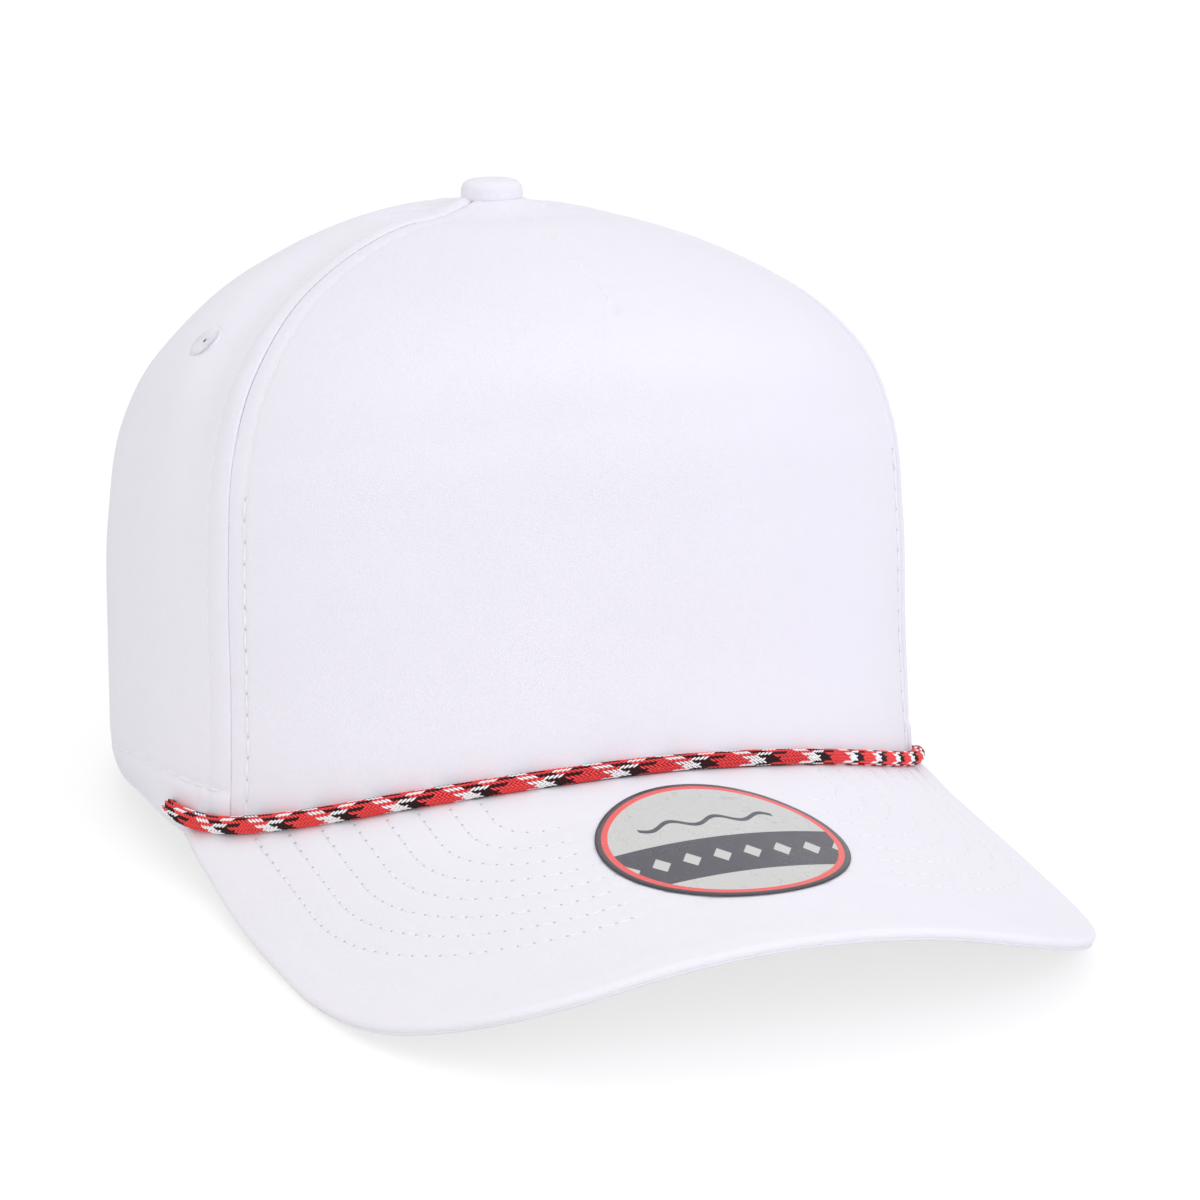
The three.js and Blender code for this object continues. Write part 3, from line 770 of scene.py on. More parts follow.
class Finish:
    """One material with its own shader, and short calls for the nodes that feed it."""

    def __init__(self, name, roughness, **shader_values):
        self.material = bpy.data.materials.new(name)
        self.material.use_nodes = True
        self.tree = self.material.node_tree
        self.shader = next(node for node in self.tree.nodes if node.type == "BSDF_PRINCIPLED")
        self.shader.inputs["Roughness"].default_value = roughness
        for socket, value in shader_values.items():
            self.shader.inputs[socket.replace("_", " ")].default_value = value
        self.place = self.tree.nodes.new("ShaderNodeTexCoord").outputs["Object"]

    def flat_map(self):
        node = self.tree.nodes.new("ShaderNodeUVMap")
        node.uv_map = "flat"
        return node.outputs["UV"]

    def dye(self):
        node = self.tree.nodes.new("ShaderNodeAttribute")
        node.attribute_name = "dye"
        return node.outputs["Fac"]

    def group(self, tree, output, **inputs):
        node = self.tree.nodes.new("ShaderNodeGroup")
        node.node_tree = tree
        for name, value in inputs.items():
            feed(self.tree, node.inputs[name.replace("_", " ")], value)
        return node.outputs[output]

    def uneven(self, scale, low=0.0, high=1.0):
        """Soft unevenness between two values, as a socket."""
        return self.group(UNEVEN, "Value", Place=self.place, Scale=scale, Low=low, High=high)

    def colour(self, value):
        feed(self.tree, self.shader.inputs["Base Color"], value)

    def roughness(self, value):
        feed(self.tree, self.shader.inputs["Roughness"], value)

    def relief(self, height, distance, strength=1.0):
        node = self.tree.nodes.new("ShaderNodeBump")
        node.inputs["Distance"].default_value = distance
        node.inputs["Strength"].default_value = strength
        feed(self.tree, node.inputs["Height"], height)
        self.tree.links.new(node.outputs[0], self.shader.inputs["Normal"])


def cloth(name, light, shade, threads_per_mm, roughness=0.85):
    """Woven cloth: a fine weave, painted shade between its threads, a little unevenness in its tone and a
    soft sheen.
    """
    finish = Finish(name, roughness, Sheen_Weight=0.12, Sheen_Roughness=0.5, Specular_IOR_Level=0.3)
    tree = finish.tree
    weave = finish.group(WEAVE, "Height", Place=finish.flat_map(), Threads_per_mm=threads_per_mm)
    tone = calculate(tree, "MULTIPLY", finish.uneven(30.0), 0.65)
    # The colour is painted darker between the woven threads, as shade, and varies in slow patches of the
    # cloth's own tone.
    weave_shade_and_tone = calculate(tree, "MULTIPLY_ADD", weave, 0.35, tone)
    finish.colour(between(tree, weave_shade_and_tone, shade, light))
    finish.roughness(finish.uneven(90.0, roughness - 0.06, roughness + 0.06))
    fuzz = noise_value(tree, finish.place, 2600.0)
    height = calculate(tree, "MULTIPLY_ADD", fuzz, 0.4, weave)
    finish.relief(height, 0.00006, 0.5)
    return finish.material


def thread_finish(name, tone, painted_right_shade=None):
    """Sewing thread, or painted shade in its needle holes or in a seam; in needle holes the shade may be
    painted darker on the wearer's right, away from the light.
    """
    finish = Finish(name, 0.5, Sheen_Weight=0.15, Specular_IOR_Level=0.4)
    tree = finish.tree
    # Painted shade: darker on the wearer's right, away from the light.
    if painted_right_shade:
        parts = tree.nodes.new("ShaderNodeSeparateXYZ")
        tree.links.new(finish.place, parts.inputs[0])
        across = tree.nodes.new("ShaderNodeMapRange")
        across.inputs["From Min"].default_value = -0.034
        across.inputs["From Max"].default_value = -0.006
        tree.links.new(parts.outputs["X"], across.inputs["Value"])
        tone = between(tree, across.outputs[0], painted_right_shade, tone)
    shade = tuple(0.9 * part for part in tone[:3]) + (1,) if isinstance(tone, tuple) else tone
    finish.colour(between(tree, finish.uneven(400.0), shade, tone))
    finish.relief(noise_value(tree, finish.place, 4000.0), 0.00005, 0.6)
    return finish.material


def braid_finish():
    """Cord yarn in three dyes, which each float of the braid carries as an attribute, painted darker towards
    each float's edges and ends as shade between the yarns.
    """
    finish = Finish("braided_cord", 0.6, Sheen_Weight=0.04, Sheen_Roughness=0.4, Specular_IOR_Level=0.12)
    tree = finish.tree
    crests = dyes(finish, (1.0, 0.086, 0.088, 1), (1.0, 1.0, 1.0, 1), (0.040, 0.018, 0.019, 1))
    # Painted shade between the floats, in each yarn's colour; the white yarn's is tinted pink.
    painted_hollow_shade = dyes(finish, (0.13, 0.003, 0.004, 1), (0.70, 0.58, 0.58, 1), (0.008, 0.004, 0.004, 1))
    yarns = tree.nodes.new("ShaderNodeSeparateXYZ")
    tree.links.new(finish.flat_map(), yarns.inputs[0])
    aside = calculate(tree, "MULTIPLY", yarns.outputs["Y"], 2 / FLOAT_WIDTH)
    along = calculate(tree, "MULTIPLY", yarns.outputs["X"], 1.6 / FLOAT_LENGTH)
    off_middle = calculate(tree, "MULTIPLY", along, along)
    off_crest = calculate(tree, "MULTIPLY_ADD", aside, aside, off_middle)
    steeper = calculate(tree, "MULTIPLY", off_crest, off_crest)
    shade = calculate(tree, "MULTIPLY_ADD", steeper, 0.95, finish.uneven(900.0, -0.15, 0.10))
    shade.node.use_clamp = True
    finish.colour(between(tree, shade, crests, painted_hollow_shade))
    finish.relief(noise_value(tree, finish.place, 5000.0), 0.00006, 0.6)
    return finish.material


def dyes(finish, red, white, black):
    """The three yarn colours, picked by the dye that a float carries; called once for the yarns themselves
    and once for their painted shade.
    """
    tree = finish.tree
    ramp = tree.nodes.new("ShaderNodeValToRGB")
    ramp.color_ramp.interpolation = "CONSTANT"
    first, second = ramp.color_ramp.elements
    first.position, first.color = 0, red
    second.position, second.color = 0.33, white
    third = ramp.color_ramp.elements.new(0.66)
    third.color = black
    tree.links.new(finish.dye(), ramp.inputs[0])
    return ramp.outputs[0]


def plastic_finish():
    finish = Finish("strap_plastic", 0.35, Coat_Weight=0.1, Specular_IOR_Level=0.5)
    finish.colour(between(finish.tree, finish.uneven(25.0), (0.84, 0.84, 0.86, 1), (0.88, 0.88, 0.90, 1)))
    finish.roughness(finish.uneven(60.0, 0.30, 0.42))
    finish.relief(noise_value(finish.tree, finish.place, 1500.0), 0.00004, 0.4)
    return finish.material


def film_finish():
    """Printed film: a dark rim, a red ring and a pale crackled field.

    A broad dark band with a row of pale diamonds crosses the field, and a waved line runs above it.
    """
    finish = Finish("sticker_film", 0.3, Coat_Weight=0.25, Coat_Roughness=0.15)
    tree = finish.tree
    parts = tree.nodes.new("ShaderNodeSeparateXYZ")
    tree.links.new(finish.flat_map(), parts.inputs[0])
    x, y = parts.outputs["X"], parts.outputs["Y"]
    radius = calculate(tree, "SQRT", calculate(tree, "MULTIPLY_ADD", x, x, calculate(tree, "MULTIPLY", y, y)))

    def under(value, limit):
        """1 below a limit and 0 above it, over a printed edge 0.1 mm wide."""
        edge = tree.nodes.new("ShaderNodeMapRange")
        edge.inputs["From Min"].default_value = limit - 0.05
        edge.inputs["From Max"].default_value = limit + 0.05
        edge.inputs["To Min"].default_value = 1
        edge.inputs["To Max"].default_value = 0
        tree.links.new(value, edge.inputs["Value"])
        return edge.outputs[0]

    def off(value, middle):
        return calculate(tree, "ABSOLUTE", calculate(tree, "SUBTRACT", value, middle))

    dark = (0.062, 0.060, 0.070, 1)
    red = (0.90, 0.10, 0.085, 1)
    pale = (0.62, 0.62, 0.585, 1)
    contour = off(noise_value(tree, finish.place, 110.0, 3.0), 0.5)
    cracks = under(calculate(tree, "MULTIPLY", contour, 30.0), 0.12)
    field = between(tree, calculate(tree, "MULTIPLY", cracks, 0.5), pale, (0.40, 0.40, 0.38, 1))
    wave = calculate(tree, "MULTIPLY", calculate(tree, "SINE", calculate(tree, "MULTIPLY", x, 0.62)), 1.4)
    off_wave = off(calculate(tree, "SUBTRACT", y, wave), WAVED_LINE_PLACE)
    inner = under(calculate(tree, "ABSOLUTE", x), 15.0)
    field = between(tree, calculate(tree, "MULTIPLY", under(off_wave, 0.75), inner), field, dark)
    off_band = off(y, BAND_PLACE)
    step = calculate(tree, "PINGPONG", calculate(tree, "ADD", x, 3.3), 3.3)
    diamond = under(calculate(tree, "ADD", calculate(tree, "MULTIPLY", step, 1.5), off_band), 3.0)
    band = between(tree, diamond, dark, pale)
    field = between(tree, under(off_band, BAND_HALF_WIDTH), field, band)
    field = between(tree, under(radius, 23.4), red, field)
    finish.colour(between(tree, under(radius, 24.7), dark, field))
    finish.roughness(finish.uneven(70.0, 0.24, 0.38))
    finish.relief(noise_value(tree, finish.place, 300.0), 0.0001, 0.3)
    return finish.material


def floor_finish():
    """White paper whose shadows are lightened where the camera sees it, as in a retouched picture."""
    finish = Finish("pale_floor", 0.9, Specular_IOR_Level=0.1, Emission_Color=(1, 1, 1, 1))
    tree = finish.tree
    seen = tree.nodes.new("ShaderNodeLightPath").outputs["Is Camera Ray"]
    paper = between(tree, finish.uneven(3.0), (0.90, 0.90, 0.90, 1), (0.91, 0.91, 0.91, 1))
    finish.colour(between(tree, seen, paper, (FLOOR_SHADOW, FLOOR_SHADOW, FLOOR_SHADOW, 1)))
    feed(tree, finish.shader.inputs["Emission Strength"], calculate(tree, "MULTIPLY", seen, FLOOR_LIFT))
    return finish.material


PANEL_CLOTH = cloth("panel_cloth", (0.890, 0.868, 0.930, 1), (0.865, 0.843, 0.905, 1), 3.2)
BRIM_CLOTH = cloth("brim_cloth", (0.900, 0.880, 0.925, 1), (0.875, 0.855, 0.900, 1), 3.2)
BAND_CLOTH = cloth("band_cloth", (0.84, 0.84, 0.87, 1), (0.80, 0.80, 0.83, 1), 2.2, 0.9)
WHITE_THREAD = thread_finish("white_thread", (0.94, 0.93, 0.96, 1))
# Painted shade in the needle holes of the crown and the sweatband.
PANEL_HOLE_SHADE = thread_finish("panel_needle_hole_shade", (0.70, 0.69, 0.74, 1))
# Painted shadow in the front seams, carried by a dark thread.
SEAM_SHADOW_LINE = thread_finish("painted_seam_shadow", (0.42, 0.41, 0.46, 1))
EYELET_THREAD = thread_finish("eyelet_thread", (0.875, 0.855, 0.915, 1))
# Painted shade in the brim's needle holes, painted darker on the wearer's right, away from the light.
BRIM_HOLE_SHADE = thread_finish("brim_needle_hole_shade", (0.80, 0.78, 0.82, 1), (0.57, 0.56, 0.60, 1))
BRAIDED_CORD = braid_finish()
STRAP_PLASTIC = plastic_finish()
STICKER_FILM = film_finish()
PALE_FLOOR = floor_finish()


# Reliefs of the panels, as heights above the plain crown in millimetres
def seam_relief(inside, along, topstitch, seed):
    """Cloth beside a sewn seam: a small pad up to the topstitching, its groove, and puckers along it."""
    pad = 0.14 * hump(inside - topstitch * 0.5, topstitch * 0.4)
    groove = -0.16 * hump(inside - topstitch, 0.8)
    puckers = 0.09 * ripple(along, 7, seed) * hump(inside - topstitch, 3.5)
    return pad + groove + puckers


def hem_height(angle):
    return read_table(HEM_LINE, np.abs(angle))


def hem_relief(angle, up, seed):
    below = hem_height(angle) - above_rim(angle, up)
    round_rim = np.radians(angle) * CROWN_HALF_WIDTH
    band = 0.3 * smooth(below / 2.5)
    groove = -0.22 * hump(below, 0.9)
    puckers = 0.16 * ripple(round_rim, 6, seed) * hump(2 - below, 4)
    close_to_hem = (1 - np.clip(above_rim(angle, up) / 9, 0, 1)) ** 2
    turned_in = -HEM_TURNED_IN * close_to_hem * smooth((np.abs(angle) - 72) / 20)
    return band + groove + puckers + turned_in


def lift_at_button(angle, up):
    """The cloth is drawn up to the button, and lies a little lower round that rise."""
    reach = reach_from_top(angle, up)
    return CLOTH_RISE * hump(reach - 5, 4.5) - CLOTH_DIP * hump(reach - 17, 6)


def handled(angle, up, seed):
    """Slow waves of a cloth that has no stiff core."""
    round_crown = np.radians(angle) * CROWN_HALF_WIDTH
    round_waves = ripple(round_crown + 20 * up, 55, seed)
    upward_waves = ripple(PANEL_LENGTH * up, 60, seed + 1)
    return round_waves * upward_waves * smooth(4 * (1 - up))


def front_relief(angle, up):
    along = PANEL_LENGTH * up
    inside = -past_seam(FRONT_SEAM, angle, up)
    from_dart = np.radians(angle) * reach_from_top(angle, up) - DART_OFFSET
    dart = smooth((up - DART_END_UP) / 0.03)
    fold = -0.16 * hump(from_dart, 0.9) + 0.08 * hump(np.abs(from_dart) - 2.4, 1.6)
    puckers = 0.3 * ripple(along, 4, 5) * hump(from_dart, 1.4)
    dip_at_end = -1.0 * hump(from_dart, 0.9) * hump(along - DART_END_UP * PANEL_LENGTH, 1.3)
    pinch = -0.7 * hump(inside, 0.9) * hump(reach_from_top(angle, up) - 8, 1.8)
    sewn = seam_relief(inside, along, FRONT_TOPSTITCH, 11)
    return sewn + dart * (fold + puckers) + dip_at_end + pinch + lift_at_button(angle, up)


def side_relief(angle, up, seed, top_fold):
    along = PANEL_LENGTH * up
    past_front = past_seam(FRONT_SEAM, angle, up)
    before_back = -past_seam(BACK_SEAM, angle, up)
    high = smooth((up - 0.25) / 0.5)
    fold = mix(1, top_fold, smooth((up - 0.72) / 0.12))
    shoulder = (0.45 + 0.3 * high) * fold * hump(past_front - 2, 4.5)
    flatter = -0.9 * hump(up - 0.81, 0.075) * hump(np.abs(angle) - 82, 22)
    hollow = -1.1 * high * hump(past_front - 15, 8) * smooth(6 * (1 - up))
    sewn = seam_relief(past_front, along, SIDE_TOPSTITCH, seed)
    sewn = sewn + seam_relief(before_back, along, BACK_TOPSTITCH, seed + 1)
    pinch = -0.7 * hump(past_front, 0.9) * hump(reach_from_top(angle, up) - 8, 1.8)
    soft = 0.35 * handled(angle, up, seed + 3)
    hem = hem_relief(angle, up, seed + 2)
    return shoulder + hollow + flatter + sewn + hem + soft + pinch + lift_at_button(angle, up)


def back_relief(angle, up, seed):
    along = PANEL_LENGTH * up
    past_back = past_seam(BACK_SEAM, angle, up)
    before_centre = from_centre_back(angle, up)
    sewn = seam_relief(past_back, along, BACK_TOPSTITCH, seed)
    sewn = sewn + seam_relief(before_centre, along, BACK_TOPSTITCH, seed + 1)
    arch = past_arch(angle, up)
    tape = 0.35 * smooth((ARCH_TOPSTITCH + 1.5 - arch) / 1.5) - 0.16 * hump(arch - ARCH_TOPSTITCH, 0.8)
    hem = hem_relief(angle, up, seed + 2) * smooth(arch / 12)
    return sewn + tape + hem + 0.35 * handled(angle, up, seed + 3) + lift_at_button(angle, up)


def on_panel(angle, up, relief, lift):
    """A point on a panel's own outside, with its direction outwards."""
    normal = crown_normal(angle, up)
    return crown_point(angle, up) + normal * (relief(angle, up) + lift)[..., None], normal


def panel_mesh(columns, rows, place, relief, edge_distance, openings=()):
    """One panel between its seams. `place(across, along)` gives the angle and the share of the way up."""

    def faces_of(across, along):
        angle, up = place(across, along)
        normal = crown_normal(angle, up)
        middle = crown_point(angle, up) + normal * (relief(angle, up) - CROWN_WALL / 2)[:, None]
        distance = np.where(on_border(across, along), 0, np.maximum(edge_distance(angle, up), 0.01))
        at_front_top = smooth((up - 0.55) / 0.15) * smooth((105 - np.abs(angle)) / 15)
        closed = round_edge(distance, SEAM_EDGE_ROUND * (1 - 0.35 * at_front_top))
        depth = SEAM_DEPTH * (1 + 5 * at_front_top)
        outside = (CROWN_WALL / 2 - depth * (1 - closed))[:, None]
        inside = mix(CROWN_WALL / 2 - depth, -CROWN_WALL / 2, closed)[:, None]
        round_crown = np.radians(angle - angle.mean()) * reach_from_top(angle, up)
        flat = np.stack((round_crown, PANEL_LENGTH * up), axis=1)
        return middle + normal * outside, middle + normal * inside, flat

    return closed_shell(columns, rows, faces_of, openings=openings)


def from_button(angle, up):
    return reach_from_top(angle, up) - BUTTON_STUD_RADIUS - CLEARANCE


def nearest(*distances):
    return np.minimum.reduce(distances)


def front_panel():
    def place(across, along):
        knots = (0, 0.03, 0.2, 0.44, 0.56, 0.8, 0.97, 1)
        across = spread(across, knots, (0, 0.004, 0.063, 0.475, 0.525, 0.937, 0.996, 1))
        along = spread(along, (0, 0.06, 1), (0, 0.02, 1))
        top = up_at_reach(mix(-FRONT_SEAM["top"], FRONT_SEAM["top"], across), BUTTON_STUD_RADIUS + CLEARANCE)
        up = along * top
        return mix(-1, 1, across) * seam_angle(FRONT_SEAM, up), up

    def edge(angle, up):
        return nearest(-past_seam(FRONT_SEAM, angle, up), above_rim(angle, up), from_button(angle, up))

    mesh = panel_mesh(200, 150, place, front_relief, edge)
    new_piece("front_panel_cloth", mesh, [PANEL_CLOTH], ["front_panel"])


def eyelet_opening(angle):
    centre = crown_skin(np.array(float(angle)), np.array(EYELET_UP), CROWN_WALL / 2)
    return tuple(centre), 0.6 * EYELET_RADIUS


def side_panel(side, seed, top_fold):
    def place(across, along):
        across = spread(across, (0, 0.05, 0.3, 0.76, 0.95, 1), (0, 0.0055, 0.14, 0.9, 0.9945, 1))
        along = spread(along, (0, 0.08, 0.25, 1), (0, 0.018, 0.1, 1))
        top = up_at_reach(mix(FRONT_SEAM["top"], BACK_SEAM["top"], across), BUTTON_STUD_RADIUS + CLEARANCE)
        up = along * top
        return mix(seam_angle(FRONT_SEAM, up), seam_angle(BACK_SEAM, up), across), up

    def edge(angle, up):
        seams = nearest(past_seam(FRONT_SEAM, angle, up), -past_seam(BACK_SEAM, angle, up))
        return nearest(seams, above_rim(angle, up), from_button(angle, up))

    def relief(angle, up):
        return side_relief(angle, up, seed, top_fold)

    mesh = panel_mesh(110, 150, place, relief, edge, [eyelet_opening(EYELET_SIDE_ANGLE)])
    if side == "right":
        mesh = mirrored(mesh)
    new_piece(f"side_panel_cloth_{side}", mesh, [PANEL_CLOTH], [f"side_panel_{side}"])
    return relief


def arch_start(across):
    """The share of the way up at which a back panel starts, on the rim or on the arch of the opening."""
    def angle_at(up):
        return mix(seam_angle(BACK_SEAM, up), 180, across)
    low = np.zeros_like(across)
    start = bisect(low, low + 0.8, lambda up: past_arch(angle_at(up), up) > 0)
    return np.where(past_arch(angle_at(low), low) > 0, 0, start)


def arch_corner_share():
    """The share of a back panel's width at which the arch meets the rim."""
    shares = np.linspace(0, 1, 2001)
    angles = mix(BACK_SEAM["rim"], 180, shares)
    outside = past_arch(angles, np.zeros_like(angles)) > 0
    return float(shares[np.count_nonzero(outside) - 1])


def back_panel(side, seed):
    corner = arch_corner_share()

    def place(across, along):
        plain = 0.5
        before = spread(across, (0, 0.2, plain), (0, corner * 0.3, corner))
        turn = np.clip((across - plain) / (1 - plain), 0, 1) * np.pi / 2
        across = np.where(across < plain, before, 1 - (1 - corner) * np.cos(turn))
        along = spread(along, (0, 0.2, 1), (0, 0.08, 1))
        top = up_at_reach(mix(BACK_SEAM["top"], 180, across), BUTTON_STUD_RADIUS + CLEARANCE)
        start = arch_start(across)
        up = mix(start, top, along)
        return mix(seam_angle(BACK_SEAM, up), 180, across), up

    def edge(angle, up):
        seams = nearest(past_seam(BACK_SEAM, angle, up), from_centre_back(angle, up))
        return nearest(seams, above_rim(angle, up), from_button(angle, up), past_arch(angle, up))

    def relief(angle, up):
        return back_relief(angle, up, seed)

    mesh = panel_mesh(100, 130, place, relief, edge, [eyelet_opening(EYELET_BACK_ANGLE)])
    if side == "right":
        mesh = mirrored(mesh)
    new_piece(f"back_panel_cloth_{side}", mesh, [PANEL_CLOTH], [f"back_panel_{side}"])
    return relief


def seam_line(seam, distance, low, high):
    """Angles and shares of the way up along a line beside a seam, `distance` past it."""
    up = np.linspace(low, high, 240)
    distance = distance + 0.3 * ripple(PANEL_LENGTH * up, 16, 7)
    angle = seam_angle(seam, up)
    for _ in range(3):
        angle = angle + np.degrees((distance - past_seam(seam, angle, up)) / reach_from_top(angle, up))
    return angle, up


def crown_sewing(reliefs):
    sewing = Sewing()
    proud = 0.12
    sunk = -0.2

    def line(angle, up, relief, side, lift, with_holes):
        points, normals = on_panel(angle, up, relief, lift)
        if side < 0:
            points = points * (-1, 1, 1)
            normals = normals * (-1, 1, 1)
        sewing.line(points, normals, with_holes)

    top = SEWN_UP_TO["front"]
    back_top = SEWN_UP_TO["back_seam"]
    for side, name in ((1, "left"), (-1, "right")):
        side_cloth, back_cloth = reliefs[name]
        line(*seam_line(FRONT_SEAM, -FRONT_TOPSTITCH, 0.035, 0.5), front_relief, side, proud, True)
        line(*seam_line(FRONT_SEAM, -FRONT_TOPSTITCH, 0.5, top), front_relief, side, sunk, False)
        line(*seam_line(FRONT_SEAM, SIDE_TOPSTITCH, 0.0, top - 0.03), side_cloth, side, sunk, False)
        line(*seam_line(BACK_SEAM, -BACK_TOPSTITCH, 0.0, back_top), side_cloth, side, sunk, False)
        line(*seam_line(BACK_SEAM, BACK_TOPSTITCH, 0.0, back_top), back_cloth, side, sunk, False)
        hem_side = np.linspace(FRONT_SEAM["rim"] + 1, BACK_SEAM["rim"] - 0.3, 200)
        hem_side_up = up_at_height(hem_side, rim_height(hem_side) + hem_height(hem_side))
        line(hem_side, hem_side_up, side_cloth, side, 0, False)
        hem_back = np.linspace(BACK_SEAM["rim"] + 0.3, 147, 120)
        hem_back_up = up_at_height(hem_back, rim_height(hem_back) + hem_height(hem_back))
        line(hem_back, hem_back_up, back_cloth, side, 0, False)
        centre_up = np.linspace(0.5, SEWN_UP_TO["centre_back"], 160)
        centre_reach = reach_from_top(np.full_like(centre_up, 180), centre_up)
        centre_angle = 180 - np.degrees(BACK_TOPSTITCH / centre_reach)
        line(centre_angle, centre_up, back_cloth, side, proud, True)
        turn = np.linspace(0.02, 0.985, 120) * np.pi / 2
        arch_x = (OPENING_HALF_WIDTH + ARCH_TOPSTITCH) * np.cos(turn)
        arch_z = rim_height(180.0) + (OPENING_HEIGHT + ARCH_TOPSTITCH) * np.sin(turn)
        arch_angle, arch_up = crown_place_from_behind(arch_x, arch_z)
        line(arch_angle, arch_up, back_cloth, side, proud, True)
    dart_up = np.linspace(DART_END_UP, top, 100)
    dart_angle = np.degrees(DART_OFFSET / reach_from_top(np.zeros_like(dart_up), dart_up))
    line(dart_angle, dart_up, front_relief, 1, sunk, False)
    sew("crown_topstitch", sewing, WHITE_THREAD, PANEL_HOLE_SHADE)


def front_seam_shadow_line():
    """A line of dark thread sunk in the front seams higher up, where they open, shaped as the stitches that
    join the front panel to its neighbours; its grey is painted shadow in the seam.
    """
    sewing = Sewing(2.0, gap=-0.8)
    for side, top in ((1, 0.8), (-1, 0.93)):
        up = np.linspace(0.5, top, 200)
        sunk = mix(-0.6, -0.28, smooth((up - 0.5) / 0.15))
        points, normals = on_panel(seam_angle(FRONT_SEAM, up), up, front_relief, sunk)
        sewing.line(points * (side, 1, 1), normals * (side, 1, 1), False)
    new_piece("front_seam_painted_shadow", sewing.thread_mesh(), [SEAM_SHADOW_LINE])


def crown_place_from_behind(x, z):
    """The angle and share of the way up of the crown's back at a given place seen from behind."""
    angle = 180 - np.degrees(np.arcsin(np.clip(x / CROWN_HALF_WIDTH, -1, 1)))
    for _ in range(12):
        up = up_at_height(angle, z)
        wide = crown_point(angle, up)[..., 0]
        angle = angle + np.degrees((wide - x) / CROWN_BACK_REACH)
    return angle, up_at_height(angle, z)


# Brim
CORNER_ACROSS = BRIM_HALF_WIDTH - BRIM_CORNER_RADIUS
FRONT_CENTRE = BRIM_LENGTH - BRIM_FRONT_RADIUS
CORNER_REACH = BRIM_FRONT_RADIUS - BRIM_CORNER_RADIUS
CORNER_FORWARD = FRONT_CENTRE + math.sqrt(CORNER_REACH**2 - CORNER_ACROSS**2)
FRONT_HALF_ARC = math.asin(CORNER_ACROSS / CORNER_REACH)


def brim_outline(share):
    """The outer outline of the flat brim: front arc, then corner arc, for shares from -1 to 1."""
    front_length = BRIM_FRONT_RADIUS * FRONT_HALF_ARC
    corner_length = BRIM_CORNER_RADIUS * (math.pi / 2 - FRONT_HALF_ARC)
    gone = np.abs(share) * (front_length + corner_length)
    on_front = gone < front_length
    corner_turn = FRONT_HALF_ARC + (gone - front_length) / BRIM_CORNER_RADIUS
    turn = np.where(on_front, gone / BRIM_FRONT_RADIUS, corner_turn)
    across = np.where(
        on_front,
        BRIM_FRONT_RADIUS * np.sin(turn),
        CORNER_ACROSS + BRIM_CORNER_RADIUS * np.sin(turn),
    )
    forward = np.where(
        on_front,
        FRONT_CENTRE + BRIM_FRONT_RADIUS * np.cos(turn),
        CORNER_FORWARD + BRIM_CORNER_RADIUS * np.cos(turn),
    )
    return np.sign(share) * across, forward


def brim_inner_edge(share):
    """The inner edge of the flat brim, which follows the crown just outside the wall."""
    angle = share * BRIM_END_ANGLE
    out = crown_normal(angle, np.zeros_like(angle)) * (1, 1, 0)
    edge = crown_point(angle, np.zeros_like(angle)) + unit(out) * CLEARANCE
    return brim_place(edge[..., 0], edge[..., 1])


def brim_edge_distance(across, forward):
    """Distance inside the brim's front and corners, in its flat sheet."""
    beside = np.abs(across)
    corner_x = beside - CORNER_ACROSS
    corner_y = forward - CORNER_FORWARD
    at_corner = BRIM_CORNER_RADIUS - np.hypot(corner_x, corner_y)
    at_side = BRIM_HALF_WIDTH - beside
    at_front = BRIM_FRONT_RADIUS - np.hypot(across, forward - FRONT_CENTRE)
    in_front_arc = np.arctan2(beside, forward - FRONT_CENTRE) < FRONT_HALF_ARC
    return np.where(in_front_arc, at_front, np.where(corner_y < 0, at_side, at_corner))


def brim_side_distance(across, forward):
    """Distance inside the straight side edge, from the end of the joint to the end of the outline."""
    inner = np.array(brim_inner_edge(np.array(1.0)))
    outer = np.array(brim_outline(np.array(1.0)))
    edge = outer - inner
    inward = np.array((-edge[1], edge[0])) / np.linalg.norm(edge)
    return (np.abs(across) - inner[0]) * inward[0] + (forward - inner[1]) * inward[1]


def inside_first_row(across, forward):
    """Distance inside the outermost row of stitches."""
    beside = np.abs(across) - BRIM_ROW_CENTRE["across"]
    ahead = forward - BRIM_ROW_CENTRE["forward"]
    outside = np.hypot(np.maximum(beside, 0), np.maximum(ahead, 0))
    return BRIM_ROW_RADIUS - outside - np.minimum(np.maximum(beside, ahead), 0)


def brim_root_lift(across, forward):
    """Where the cord has crept up the crown, the root of the brim is drawn up with it."""
    shares = np.linspace(-1, 1, 201)
    joint_across, joint_forward = brim_inner_edge(shares)
    angle = BRIM_END_ANGLE * np.interp(across, joint_across, shares)
    from_joint = forward - np.interp(across, joint_across, joint_forward)
    creep = read_table(ROPE_CREEP, angle)
    share = (angle - ROPE_RIGHT_END) / (ROPE_LEFT_END - ROPE_RIGHT_END)
    return np.maximum(creep + rope_slack(share) + 0.25, 0) * (1 - smooth((from_joint - 2) / 20))


def brim_relief(across, forward):
    inside = inside_first_row(across, forward)
    row = np.clip(np.round(inside / BRIM_ROW_SPACING), 0, BRIM_STITCH_ROWS - 1)
    from_row = inside - row * BRIM_ROW_SPACING
    groove = -0.10 * hump(from_row, 0.9)
    edge = brim_edge_distance(across, forward)
    seam_ridge = 0.18 * hump(edge - 4.5, 2.6)
    waves = 0.12 * ripple(across + 0.6 * forward, 48, 31) * smooth(edge / 20)
    return groove + seam_ridge + waves


